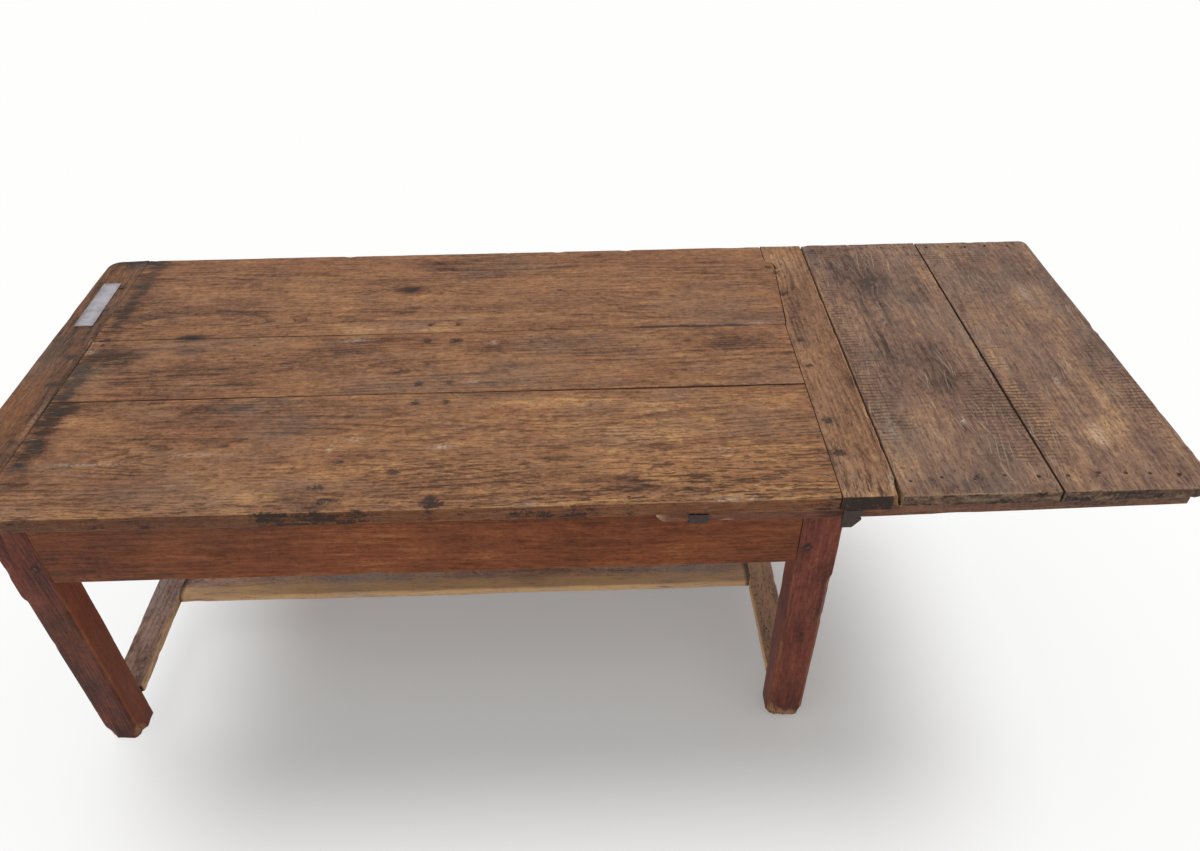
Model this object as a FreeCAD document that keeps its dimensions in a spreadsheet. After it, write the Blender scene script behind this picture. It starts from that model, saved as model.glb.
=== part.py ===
import FreeCAD, Part
import os
import re
import Sketcher

# A pegged farmhouse table with a leaf that slides out of iron keepers at its right end.
# Millimetres. X runs along the table towards the leaf, Y from front to rear, Z up from the floor.
# The origin is on the floor under the middle of the table and leaf together.

DRIVING_SIZES = {
    # table top: three boards between two breadboard ends
    "table_height": 750,
    "top_length": 1775,
    "top_width": 940,
    "top_thickness": 34.5,
    "front_board_width": 346,
    "middle_board_width": 226,
    "board_gap": 0.6,
    "breadboard_left_width": 97,
    "breadboard_right_width": 106,
    "top_corner_radius": 28,
    "board_tenon_length": 60,
    "board_tenon_thickness": 11,
    "board_tenon_shoulder": 45,
    "breadboard_peg_radius": 4.5,
    "breadboard_peg_inset": 22,
    "breadboard_peg_spread": 50,
    "loose_tenon_length": 100,
    "loose_tenon_width": 100,
    "loose_peg_radius": 4.5,
    "loose_peg_spread": 32,
    "loose_peg_offset": 33,
    # legs
    "leg_width": 79,
    "leg_depth": 76,
    "leg_inset": 83,
    "overhang": 30,
    "leg_chamfer": 8,
    "chamfer_stop": 40,
    # aprons
    "apron_height": 168,
    "apron_thickness": 27,
    "end_apron_setback": 32,
    "apron_tenon_length": 40,
    "apron_tenon_thickness": 10,
    "apron_tenon_shoulder": 24,
    "apron_peg_radius": 5,
    "apron_peg_inset": 18,
    "apron_peg_height": 42,
    "peg_bite": 15,
    # stretchers
    "stretcher_top": 100,
    "stretcher_width": 70,
    "stretcher_thickness": 25,
    "stretcher_setback": 1,
    "stretcher_tenon_length": 42,
    "stretcher_tenon_width": 30,
    "stretcher_tenon_thickness": 14,
    "stretcher_peg_radius": 4.5,
    "stretcher_peg_inset": 18,
    "stretcher_peg_bite": 8,
    "long_stretcher_width": 205,
    "long_stretcher_thickness": 22,
    "long_tenon_length": 35,
    "long_tenon_width": 110,
    "long_tenon_thickness": 10,
    # what holds the top to the frame
    "dowel_radius": 7,
    "dowel_depth_leg": 15,
    "dowel_depth_top": 18,
    "top_nail_inset": 36,
    "top_nail_bite": 28,
    # leaf
    "leaf_gap": 3,
    "leaf_thickness": 29,
    "leaf_inner_width": 294,
    "leaf_board_gap": 2.5,
    "leaf_outer_width": 290,
    "leaf_front_corner_radius": 45,
    "leaf_rear_corner_radius": 20,
    # arms under the leaf
    "arm_setback": 5,
    "arm_width": 62,
    "arm_reach": 446,
    "arm_tongue_height": 22.5,
    "arm_tip_height": 20,
    "arm_tip_bevel": 14,
    "arm_tip_nose": 6,
    "arm_outer_height": 17,
    "arm_end_inset": 45,
    "arm_shoulder_gap": 4,
    "leaf_nail_inset": 28,
    "leaf_nail_end": 14,
    "leaf_nail_bite": 10,
    "front_nail_line": 45,
    "rear_nail_line": 25,
    # iron keepers for the arms
    "keeper_width": 35,
    "keeper_thickness": 3.5,
    "keeper_drop": 18,
    "inner_keeper_distance": 384,
    "outer_keeper_lap": 16,
    "keeper_nail_pitch": 9,
    "keeper_nail_bite": 18,
    # wrought nails
    "nail_radius": 2,
    "nail_head_radius": 4,
    "nail_head_thickness": 1.5,
    # fits
    "joint_clearance": 0.2,
    "mortise_gap": 1,
    "peg_clearance": 0.1,
    "slide_clearance": 0.3,
    "cut_margin": 2,
}

WORKED_OUT_SIZES = {
    "total_length": "top_length + leaf_gap + leaf_inner_width + leaf_board_gap + leaf_outer_width",
    "top_left": "-total_length / 2",
    "top_right": "top_left + top_length",
    "top_middle": "top_left + top_length / 2",
    "top_front": "-top_width / 2",
    "top_rear": "top_width / 2",
    "top_underside": "table_height - top_thickness",
    "field_left": "top_left + breadboard_left_width + board_gap",
    "field_length": "top_length - breadboard_left_width - breadboard_right_width - 2 * board_gap",
    "front_joint": "top_front + front_board_width",
    "rear_joint": "front_joint + middle_board_width",
    "board_tenon_bottom": "top_underside + (top_thickness - board_tenon_thickness) / 2",
    "leg_inner_x": "leg_inset + leg_width",
    "leg_inner_y": "overhang + leg_depth",
    "apron_bottom": "top_underside - apron_height",
    "apron_length": "top_length - 2 * leg_inner_x",
    "end_apron_length": "top_width - 2 * leg_inner_y",
    "apron_tenon_height": "apron_height - 2 * apron_tenon_shoulder",
    "apron_tenon_bottom": "apron_bottom + apron_tenon_shoulder",
    "apron_tenon_inset": "(apron_thickness - apron_tenon_thickness) / 2",
    "end_apron_inset": "leg_inset + end_apron_setback",
    "stretcher_bottom": "stretcher_top - stretcher_thickness",
    "stretcher_inner_x": "leg_inner_x - stretcher_setback",
    "stretcher_inset": "stretcher_inner_x - stretcher_width",
    "stretcher_tenon_inset": "stretcher_inset + (stretcher_width - stretcher_tenon_width) / 2",
    "stretcher_tenon_bottom": "stretcher_bottom + (stretcher_thickness - stretcher_tenon_thickness) / 2",
    "long_stretcher_length": "top_length - 2 * stretcher_inner_x",
    "long_tenon_bottom": "stretcher_top - (long_stretcher_thickness + long_tenon_thickness) / 2",
    "leaf_left": "top_right + leaf_gap",
    "leaf_outer_left": "leaf_left + leaf_inner_width + leaf_board_gap",
    "leaf_right": "leaf_outer_left + leaf_outer_width",
    "leaf_underside": "table_height - leaf_thickness",
    "arm_tip": "top_right - arm_reach",
    "arm_top": "top_underside - slide_clearance",
    "arm_bottom": "arm_top - arm_tongue_height",
    "arm_tip_rise": "arm_tongue_height - arm_tip_height",
    "arm_nose_height": "arm_tongue_height - arm_tip_nose",
    "arm_step": "leaf_left - arm_tip",
    "arm_shoulder_height": "leaf_underside - arm_bottom",
    "arm_length": "leaf_right - arm_end_inset - arm_tip",
    "arm_end_height": "arm_shoulder_height - arm_outer_height",
    "arm_fulcrum": "arm_reach - leg_inset",
    "arm_tongue_depth": "overhang - arm_setback - slide_clearance",
    "keeper_reach": "overhang - arm_setback + slide_clearance + keeper_thickness",
    "keeper_lip_inside": "keeper_reach - keeper_thickness",
    "keeper_foot_top": "keeper_drop + keeper_thickness",
    "keeper_lip_top": "keeper_foot_top + slide_clearance + arm_tongue_height",
    "keeper_base": "arm_bottom - slide_clearance - keeper_foot_top",
    "keeper_nail_middle": "keeper_base + keeper_drop / 2",
}

TOP_NAIL_COUNT = 9
LEAF_NAILS_PER_BOARD = 5
SIDES = ("front", "rear")
ENDS = ("left", "right")

document = FreeCAD.newDocument("FarmhouseTable")
sheet = document.addObject("Spreadsheet::Sheet", "Sizes")
sub_parts = []


def fill_sheet():
    cells = {name: str(size) for name, size in DRIVING_SIZES.items()}
    cells.update({name: "=" + formula for name, formula in WORKED_OUT_SIZES.items()})
    for row, (name, content) in enumerate(cells.items(), start=1):
        sheet.set(f"A{row}", name)
        sheet.set(f"B{row}", content)
        sheet.setAlias(f"B{row}", name)
    document.recompute()


def linked(words):
    # Turns plain size names into references to the sheet's cells.
    def reference(match):
        word = match.group(0)
        is_size = word in DRIVING_SIZES or word in WORKED_OUT_SIZES
        return "Sizes." + word if is_size else word

    return re.sub(r"[a-z_]+", reference, words)


def place(piece, corner):
    for axis, words in zip("xyz", corner):
        piece.setExpression(f"Placement.Base.{axis}", linked(words))


def box(name, corner, size):
    piece = document.addObject("Part::Box", name)
    for side, words in zip(("Length", "Width", "Height"), size):
        piece.setExpression(side, linked(words))
    place(piece, corner)
    return piece


TURNS = {
    "+x": FreeCAD.Rotation(FreeCAD.Vector(0, 1, 0), 90),
    "-x": FreeCAD.Rotation(FreeCAD.Vector(0, 1, 0), -90),
    "+y": FreeCAD.Rotation(FreeCAD.Vector(1, 0, 0), -90),
    "-y": FreeCAD.Rotation(FreeCAD.Vector(1, 0, 0), 90),
    "+z": FreeCAD.Rotation(),
    "-z": FreeCAD.Rotation(FreeCAD.Vector(1, 0, 0), 180),
}


def rod(name, start, direction, radius, length):
    piece = document.addObject("Part::Cylinder", name)
    piece.setExpression("Radius", linked(radius))
    piece.setExpression("Height", linked(length))
    piece.Placement = FreeCAD.Placement(FreeCAD.Vector(), TURNS[direction])
    place(piece, start)
    return piece


def join(name, pieces):
    piece = document.addObject("Part::MultiFuse", name)
    piece.Shapes = pieces
    piece.Refine = True
    return piece


def group(name, pieces):
    piece = document.addObject("Part::Compound", name)
    piece.Links = pieces
    return piece


def carve(name, blank, tools):
    # Tools in one call stay clear of each other; crossing cuts are made one after the other.
    piece = document.addObject("Part::Cut", name)
    piece.Base = blank
    piece.Tool = tools[0] if len(tools) == 1 else group(name + "_tools", tools)
    piece.Refine = True
    return piece


def sub_part(label, piece):
    piece.Label = label
    sub_parts.append(piece)


def on_side(side, distance, depth="0"):
    # Lowest Y of something that starts this far in from the top's front or rear edge.
    if side == "front":
        return f"top_front + ({distance})"
    return f"top_rear - ({distance}) - ({depth})"


def on_end(end, distance, width="0"):
    # Lowest X of something that starts this far in from the top's left or right end.
    if end == "left":
        return f"top_left + ({distance})"
    return f"top_right - ({distance}) - ({width})"


def inward(side_or_end):
    return {"front": "+y", "rear": "-y", "left": "+x", "right": "-x"}[side_or_end]


def profile_sketch(body, name, plane, corners):
    # A closed outline whose corners are pairs of size names, measured from the body's origin.
    sketch = body.newObject("Sketcher::SketchObject", name)
    planes = [part for part in body.Origin.OriginFeatures if part.Role == plane]
    sketch.AttachmentSupport = (planes[0], [""])
    sketch.MapMode = "FlatFace"
    points = []
    for pair in corners:
        across, up = [0.0 if word == "0" else float(sheet.get(word)) for word in pair]
        points.append(FreeCAD.Vector(across, up, 0))
    count = len(points)
    for index in range(count):
        line = Part.LineSegment(points[index], points[(index + 1) % count])
        sketch.addGeometry(line, False)
    start_point, end_point, origin_line, height_line = 1, 2, -1, -2
    for index in range(count):
        following = (index + 1) % count
        sketch.addConstraint(Sketcher.Constraint("Coincident", index, end_point, following, start_point))
    for index, (across, up) in enumerate(corners):
        for kind, word, axis, size in (
            ("DistanceX", across, height_line, points[index].x),
            ("DistanceY", up, origin_line, points[index].y),
        ):
            if word == "0":
                sketch.addConstraint(Sketcher.Constraint("PointOnObject", index, start_point, axis))
                continue
            number = sketch.addConstraint(
                Sketcher.Constraint(kind, origin_line, start_point, index, start_point, size)
            )
            sketch.setExpression(f"Constraints[{number}]", linked(word))
    return sketch


def profile_body(name, plane, corners, length, reverse):
    body = document.addObject("PartDesign::Body", name)
    sketch = profile_sketch(body, name + "_outline", plane, corners)
    pad = body.newObject("PartDesign::Pad", name + "_pad")
    pad.Profile = sketch
    pad.setExpression("Length", linked(length))
    pad.Reversed = reverse
    sketch.Visibility = False
    return body


def nail(name, head, direction, length):
    # A nail with a flat round head; the head's outer face is at the given point.
    cap = rod(name + "_head", head, direction, "nail_head_radius", "nail_head_thickness")
    shank = rod(name + "_shank", head, direction, "nail_radius", length)
    return join(name, [cap, shank])


def nail_recess(name, head, direction):
    return rod(
        name, head, direction, "nail_head_radius + peg_clearance", "nail_head_thickness + peg_clearance"
    )


def nail_hole(name, head, direction, length):
    return rod(name, head, direction, "nail_radius + peg_clearance", f"{length} + mortise_gap")


def peg_run(side_or_end):
    # Length of a peg that goes in from a leg's outer face and through the tenon behind it.
    setback = "0" if side_or_end in SIDES else "end_apron_setback"
    return f"{setback} + apron_tenon_inset + apron_tenon_thickness + peg_bite"


def apron_peg_start(side, end, outer_face):
    height = "apron_bottom + apron_peg_height"
    if outer_face == side:
        return (on_end(end, "leg_inner_x - apron_peg_inset"), on_side(side, "overhang"), height)
    return (on_end(end, "leg_inset"), on_side(side, "leg_inner_y - apron_peg_inset"), height)


def stretcher_peg_start(side, end):
    height = "stretcher_tenon_bottom + stretcher_tenon_thickness / 2"
    return (on_end(end, "leg_inset"), on_side(side, "leg_inner_y - stretcher_peg_inset"), height)


STRETCHER_PEG_RUN = "stretcher_tenon_inset - leg_inset + stretcher_tenon_width + stretcher_peg_bite"


def dowel_place(side, end, height):
    return (on_end(end, "leg_inset + leg_width / 2"), on_side(side, "overhang + leg_depth / 2"), height)


def top_nail_head(index):
    pitch = f"(end_apron_length - 2 * top_nail_inset) / {TOP_NAIL_COUNT - 1}"
    across = f"top_front + leg_inner_y + top_nail_inset + {index} * {pitch}"
    return (on_end("left", "end_apron_inset + apron_thickness / 2"), across, "table_height")


def keeper_left(place_name):
    if place_name == "inner":
        return "top_right - inner_keeper_distance"
    return "top_right - leg_inset - outer_keeper_lap"


def keeper_nail_heads(side, place_name):
    lap = "keeper_width" if place_name == "inner" else "outer_keeper_lap"
    across = on_side(side, "overhang - keeper_thickness - nail_head_thickness")
    along = f"{keeper_left(place_name)} + ({lap}) / 2"
    return [(along, across, f"keeper_nail_middle {sign} keeper_nail_pitch / 2") for sign in "-+"]


KEEPER_NAIL_LENGTH = "nail_head_thickness + keeper_thickness + keeper_nail_bite"


def leaf_nail_heads(side):
    line = on_side(side, f"{side}_nail_line")
    last = LEAF_NAILS_PER_BOARD - 1
    runs = (
        ("leaf_left + leaf_nail_inset", "leaf_inner_width - 2 * leaf_nail_inset"),
        (
            "leaf_outer_left + leaf_nail_inset",
            "leaf_outer_width - leaf_nail_inset - arm_end_inset - leaf_nail_end",
        ),
    )
    return [
        (f"{start} + {index} * ({run}) / {last}", line, "table_height")
        for start, run in runs
        for index in range(LEAF_NAILS_PER_BOARD)
    ]


LEAF_NAIL_LENGTH = "leaf_thickness + leaf_nail_bite"


def make_leg(side, end):
    name = f"leg_{side}_{end}"
    size = ("leg_width", "leg_depth", "top_underside")
    blank = box(
        name + "_blank",
        (on_end(end, "leg_inset", "leg_width"), on_side(side, "overhang", "leg_depth"), "0"),
        size,
    )
    chamfers = []
    for x_distance in ("leg_inset", "leg_inner_x"):
        for y_distance in ("overhang", "leg_inner_y"):
            corner_name = f"{name}_chamfer_{len(chamfers)}"
            chamfers.append(make_chamfer(corner_name, side, end, x_distance, y_distance))
    shaped = carve(name + "_shaped", blank, chamfers)
    mortise_height = "apron_tenon_height + 2 * joint_clearance"
    mortise_thickness = "apron_tenon_thickness + 2 * joint_clearance"
    apron_run = "apron_tenon_length + mortise_gap + cut_margin"
    apron_start = "apron_tenon_length + mortise_gap"
    long_mortise = box(
        name + "_long_mortise",
        (
            on_end(end, f"leg_inner_x - ({apron_start})", apron_run),
            on_side(side, "overhang + apron_tenon_inset - joint_clearance", mortise_thickness),
            "apron_tenon_bottom - joint_clearance",
        ),
        (apron_run, mortise_thickness, mortise_height),
    )
    end_mortise = box(
        name + "_end_mortise",
        (
            on_end(end, "end_apron_inset + apron_tenon_inset - joint_clearance", mortise_thickness),
            on_side(side, f"leg_inner_y - ({apron_start})", apron_run),
            "apron_tenon_bottom - joint_clearance",
        ),
        (mortise_thickness, apron_run, mortise_height),
    )
    stretcher_run = "stretcher_tenon_length + mortise_gap + cut_margin"
    stretcher_mortise_width = "stretcher_tenon_width + 2 * joint_clearance"
    stretcher_mortise = box(
        name + "_stretcher_mortise",
        (
            on_end(end, "stretcher_tenon_inset - joint_clearance", stretcher_mortise_width),
            on_side(side, "leg_inner_y - stretcher_tenon_length - mortise_gap", stretcher_run),
            "stretcher_tenon_bottom - joint_clearance",
        ),
        (stretcher_mortise_width, stretcher_run, "stretcher_tenon_thickness + 2 * joint_clearance"),
    )
    mortised = carve(name + "_mortised", shaped, [long_mortise, end_mortise, stretcher_mortise])
    holes = [
        rod(
            f"{name}_peg_hole_{face}",
            apron_peg_start(side, end, face),
            inward(face),
            "apron_peg_radius + peg_clearance",
            peg_run(face) + " + mortise_gap",
        )
        for face in (side, end)
    ]
    holes.append(
        rod(
            name + "_stretcher_peg_hole",
            stretcher_peg_start(side, end),
            inward(end),
            "stretcher_peg_radius + peg_clearance",
            STRETCHER_PEG_RUN + " + mortise_gap",
        )
    )
    holes.append(
        rod(
            name + "_dowel_hole",
            dowel_place(side, end, "top_underside - dowel_depth_leg - mortise_gap"),
            "+z",
            "dowel_radius + peg_clearance",
            "dowel_depth_leg + mortise_gap + cut_margin",
        )
    )
    if end == "right":
        for index, head in enumerate(keeper_nail_heads(side, "outer")):
            holes.append(nail_hole(f"{name}_nail_hole_{index}", head, inward(side), KEEPER_NAIL_LENGTH))
    sub_part(name, carve(name, mortised, holes))


def make_chamfer(name, side, end, x_distance, y_distance):
    # A square bar turned on edge takes the leg's corner off up to the stop under the apron.
    tool = document.addObject("Part::Box", name)
    tool.setExpression("Length", linked("leg_chamfer * sqrt(2)"))
    tool.setExpression("Width", linked("leg_chamfer * sqrt(2)"))
    tool.setExpression("Height", linked("apron_bottom - chamfer_stop + cut_margin"))
    tool.Placement = FreeCAD.Placement(FreeCAD.Vector(), FreeCAD.Rotation(FreeCAD.Vector(0, 0, 1), 45))
    place(tool, (on_end(end, x_distance), on_side(side, y_distance) + " - leg_chamfer", "-cut_margin"))
    return tool


def make_long_apron(side):
    name = f"apron_{side}"
    rail = box(
        name + "_rail",
        ("top_left + leg_inner_x", on_side(side, "overhang", "apron_thickness"), "apron_bottom"),
        ("apron_length", "apron_thickness", "apron_height"),
    )
    tenons = box(
        name + "_tenons",
        (
            "top_left + leg_inner_x - apron_tenon_length",
            on_side(side, "overhang + apron_tenon_inset", "apron_tenon_thickness"),
            "apron_tenon_bottom",
        ),
        ("apron_length + 2 * apron_tenon_length", "apron_tenon_thickness", "apron_tenon_height"),
    )
    holes = [
        rod(
            f"{name}_peg_hole_{end}",
            apron_peg_start(side, end, side),
            inward(side),
            "apron_peg_radius + peg_clearance",
            "apron_thickness",
        )
        for end in ENDS
    ]
    for index, head in enumerate(keeper_nail_heads(side, "inner")):
        holes.append(nail_hole(f"{name}_nail_hole_{index}", head, inward(side), KEEPER_NAIL_LENGTH))
    sub_part(name, carve(name, join(name + "_blank", [rail, tenons]), holes))


def make_end_apron(end):
    name = f"apron_{end}"
    rail = box(
        name + "_rail",
        (on_end(end, "end_apron_inset", "apron_thickness"), "top_front + leg_inner_y", "apron_bottom"),
        ("apron_thickness", "end_apron_length", "apron_height"),
    )
    tenons = box(
        name + "_tenons",
        (
            on_end(end, "end_apron_inset + apron_tenon_inset", "apron_tenon_thickness"),
            "top_front + leg_inner_y - apron_tenon_length",
            "apron_tenon_bottom",
        ),
        ("apron_tenon_thickness", "end_apron_length + 2 * apron_tenon_length", "apron_tenon_height"),
    )
    holes = [
        rod(
            f"{name}_peg_hole_{side}",
            apron_peg_start(side, end, end),
            inward(end),
            "apron_peg_radius + peg_clearance",
            peg_run(end),
        )
        for side in SIDES
    ]
    if end == "left":
        for index in range(TOP_NAIL_COUNT):
            holes.append(top_nail_hole(f"{name}_nail_hole_{index}", index))
    sub_part(name, carve(name, join(name + "_blank", [rail, tenons]), holes))


def make_end_stretcher(end):
    name = f"stretcher_{end}"
    rail = box(
        name + "_rail",
        (on_end(end, "stretcher_inset", "stretcher_width"), "top_front + leg_inner_y", "stretcher_bottom"),
        ("stretcher_width", "end_apron_length", "stretcher_thickness"),
    )
    tenons = box(
        name + "_tenons",
        (
            on_end(end, "stretcher_tenon_inset", "stretcher_tenon_width"),
            "top_front + leg_inner_y - stretcher_tenon_length",
            "stretcher_tenon_bottom",
        ),
        (
            "stretcher_tenon_width",
            "end_apron_length + 2 * stretcher_tenon_length",
            "stretcher_tenon_thickness",
        ),
    )
    mortise_run = "long_tenon_length + mortise_gap + cut_margin"
    mortise = box(
        name + "_mortise",
        (
            on_end(end, "stretcher_inner_x - long_tenon_length - mortise_gap", mortise_run),
            "-long_tenon_width / 2 - joint_clearance",
            "long_tenon_bottom - joint_clearance",
        ),
        (mortise_run, "long_tenon_width + 2 * joint_clearance", "long_tenon_thickness + 2 * joint_clearance"),
    )
    holes = [
        rod(
            f"{name}_peg_hole_{side}",
            stretcher_peg_start(side, end),
            inward(end),
            "stretcher_peg_radius + peg_clearance",
            STRETCHER_PEG_RUN,
        )
        for side in SIDES
    ]
    sub_part(name, carve(name, join(name + "_blank", [rail, tenons]), [mortise, *holes]))


def make_long_stretcher():
    name = "stretcher_long"
    board = box(
        name + "_board",
        (
            "top_left + stretcher_inner_x",
            "-long_stretcher_width / 2",
            "stretcher_top - long_stretcher_thickness",
        ),
        ("long_stretcher_length", "long_stretcher_width", "long_stretcher_thickness"),
    )
    tenons = box(
        name + "_tenons",
        ("top_left + stretcher_inner_x - long_tenon_length", "-long_tenon_width / 2", "long_tenon_bottom"),
        ("long_stretcher_length + 2 * long_tenon_length", "long_tenon_width", "long_tenon_thickness"),
    )
    sub_part(name, join(name, [board, tenons]))


TOP_BOARDS = {
    # Lowest Y and width of each board of the top, from front to rear.
    "front": ("top_front", "front_board_width - board_gap / 2"),
    "middle": ("front_joint + board_gap / 2", "middle_board_width - board_gap"),
    "rear": ("rear_joint + board_gap / 2", "top_rear - rear_joint - board_gap / 2"),
}
LOOSE_TENON_JOINTS = {"front": "front_joint", "rear": "rear_joint"}


def top_nail_hole(name, index):
    return nail_hole(name, top_nail_head(index), "-z", "top_thickness + top_nail_bite")


def loose_peg_starts(joint):
    return [
        (f"top_middle {along} loose_peg_spread", f"{joint} {across} loose_peg_offset", "top_underside")
        for along in "-+"
        for across in "-+"
    ]


def breadboard_peg_starts(end):
    along = on_end(end, f"breadboard_{end}_width - breadboard_peg_inset")
    return [
        (along, f"{low} + ({width}) / 2 {sign} breadboard_peg_spread", "top_underside")
        for low, width in TOP_BOARDS.values()
        for sign in "-+"
    ]


def through_hole(name, start, radius):
    along, across, height = start
    return rod(
        name,
        (along, across, f"{height} - cut_margin"),
        "+z",
        f"{radius} + peg_clearance",
        "top_thickness + 2 * cut_margin",
    )


def make_top_board(place_name):
    name = f"top_board_{place_name}"
    low, width = TOP_BOARDS[place_name]
    board = box(
        name + "_board",
        ("field_left", low, "top_underside"),
        ("field_length", width, "top_thickness"),
    )
    tenons = box(
        name + "_tenons",
        ("field_left - board_tenon_length", f"{low} + board_tenon_shoulder", "board_tenon_bottom"),
        (
            "field_length + 2 * board_tenon_length",
            f"{width} - 2 * board_tenon_shoulder",
            "board_tenon_thickness",
        ),
    )
    joints = [joint for joint in LOOSE_TENON_JOINTS if joint == place_name or place_name == "middle"]
    mortises = []
    holes = []
    for joint in joints:
        line = LOOSE_TENON_JOINTS[joint]
        mortises.append(
            box(
                f"{name}_mortise_{joint}",
                (
                    "top_middle - loose_tenon_length / 2 - joint_clearance",
                    f"{line} - loose_tenon_width / 2 - mortise_gap",
                    "board_tenon_bottom - joint_clearance",
                ),
                (
                    "loose_tenon_length + 2 * joint_clearance",
                    "loose_tenon_width + 2 * mortise_gap",
                    "board_tenon_thickness + 2 * joint_clearance",
                ),
            )
        )
        for index, start in enumerate(loose_peg_starts(line)):
            holes.append(through_hole(f"{name}_peg_hole_{joint}_{index}", start, "loose_peg_radius"))
    for end in ENDS:
        for index, start in enumerate(breadboard_peg_starts(end)):
            holes.append(through_hole(f"{name}_end_peg_hole_{end}_{index}", start, "breadboard_peg_radius"))
    for index in range(TOP_NAIL_COUNT):
        holes.append(top_nail_hole(f"{name}_nail_hole_{index}", index))
    if place_name in SIDES:
        for end in ENDS:
            holes.append(
                rod(
                    f"{name}_dowel_hole_{end}",
                    dowel_place(place_name, end, "top_underside - cut_margin"),
                    "+z",
                    "dowel_radius + peg_clearance",
                    "dowel_depth_top + mortise_gap + cut_margin",
                )
            )
    recesses = [
        nail_recess(f"{name}_nail_recess_{index}", top_nail_head(index), "-z")
        for index in range(TOP_NAIL_COUNT)
    ]
    mortised = carve(name + "_mortised", join(name + "_blank", [board, tenons]), mortises)
    drilled = carve(name + "_drilled", mortised, holes)
    sub_part(name, carve(name, drilled, recesses))


def round_corner(name, corner_x, corner_y, x_sign, y_sign, radius, low, thickness):
    # What a rounded corner leaves off: a square block less the round that stays.
    inner_x = f"{corner_x} {'-' if x_sign > 0 else '+'} ({radius})"
    inner_y = f"{corner_y} {'-' if y_sign > 0 else '+'} ({radius})"
    block_size = f"{radius} + cut_margin"
    height = f"{thickness} + 2 * cut_margin"
    block = box(
        name + "_block",
        (
            inner_x if x_sign > 0 else f"{corner_x} - cut_margin",
            inner_y if y_sign > 0 else f"{corner_y} - cut_margin",
            f"{low} - cut_margin",
        ),
        (block_size, block_size, height),
    )
    kept = rod(name + "_kept", (inner_x, inner_y, f"{low} - cut_margin"), "+z", radius, height)
    return carve(name, block, [kept])


def make_breadboard(end):
    name = f"breadboard_{end}"
    width = f"breadboard_{end}_width"
    blank = box(
        name + "_blank",
        (on_end(end, "0", width), "top_front", "top_underside"),
        (width, "top_width", "top_thickness"),
    )
    mortise_start = f"{width} + board_gap - board_tenon_length - mortise_gap"
    mortise_run = "board_tenon_length + mortise_gap + cut_margin"
    mortises = [
        box(
            f"{name}_mortise_{place_name}",
            (
                on_end(end, mortise_start, mortise_run),
                f"{low} + board_tenon_shoulder - joint_clearance",
                "board_tenon_bottom - joint_clearance",
            ),
            (
                mortise_run,
                f"{board_width} - 2 * board_tenon_shoulder + 2 * joint_clearance",
                "board_tenon_thickness + 2 * joint_clearance",
            ),
        )
        for place_name, (low, board_width) in TOP_BOARDS.items()
    ]
    holes = [
        through_hole(f"{name}_peg_hole_{index}", start, "breadboard_peg_radius")
        for index, start in enumerate(breadboard_peg_starts(end))
    ]
    mortised = carve(name + "_mortised", blank, mortises)
    if end == "left":
        holes.append(
            round_corner(
                name + "_front_corner", "top_left", "top_front", -1, -1,
                "top_corner_radius", "top_underside", "top_thickness",
            )
        )
        holes.append(
            round_corner(
                name + "_rear_corner", "top_left", "top_rear", -1, 1,
                "top_corner_radius", "top_underside", "top_thickness",
            )
        )
    sub_part(name, carve(name, mortised, holes))


def make_loose_tenon(joint):
    name = f"top_tenon_{joint}"
    line = LOOSE_TENON_JOINTS[joint]
    blank = box(
        name + "_blank",
        ("top_middle - loose_tenon_length / 2", f"{line} - loose_tenon_width / 2", "board_tenon_bottom"),
        ("loose_tenon_length", "loose_tenon_width", "board_tenon_thickness"),
    )
    holes = [
        through_hole(f"{name}_peg_hole_{index}", start, "loose_peg_radius")
        for index, start in enumerate(loose_peg_starts(line))
    ]
    sub_part(name, carve(name, blank, holes))


def make_pegs():
    apron_pegs = []
    stretcher_pegs = []
    dowels = []
    for side in SIDES:
        for end in ENDS:
            for face in (side, end):
                apron_pegs.append(
                    rod(
                        f"apron_peg_{side}_{end}_{face}",
                        apron_peg_start(side, end, face),
                        inward(face),
                        "apron_peg_radius",
                        peg_run(face),
                    )
                )
            stretcher_pegs.append(
                rod(
                    f"stretcher_peg_{side}_{end}",
                    stretcher_peg_start(side, end),
                    inward(end),
                    "stretcher_peg_radius",
                    STRETCHER_PEG_RUN,
                )
            )
            dowels.append(
                rod(
                    f"top_dowel_{side}_{end}",
                    dowel_place(side, end, "top_underside - dowel_depth_leg"),
                    "+z",
                    "dowel_radius",
                    "dowel_depth_leg + dowel_depth_top",
                )
            )
    tenon_pegs = [
        rod(f"tenon_peg_{joint}_{index}", start, "+z", "loose_peg_radius", "top_thickness")
        for joint, line in LOOSE_TENON_JOINTS.items()
        for index, start in enumerate(loose_peg_starts(line))
    ]
    breadboard_pegs = [
        rod(f"breadboard_peg_{end}_{index}", start, "+z", "breadboard_peg_radius", "top_thickness")
        for end in ENDS
        for index, start in enumerate(breadboard_peg_starts(end))
    ]
    sub_part("apron_pegs", group("apron_pegs", apron_pegs))
    sub_part("stretcher_pegs", group("stretcher_pegs", stretcher_pegs))
    sub_part("top_dowels", group("top_dowels", dowels))
    sub_part("tenon_pegs", group("tenon_pegs", tenon_pegs))
    sub_part("breadboard_pegs", group("breadboard_pegs", breadboard_pegs))


def make_top_nails():
    nails = [
        nail(f"top_nail_{index}", top_nail_head(index), "-z", "top_thickness + top_nail_bite")
        for index in range(TOP_NAIL_COUNT)
    ]
    sub_part("top_nails", group("top_nails", nails))


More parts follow.
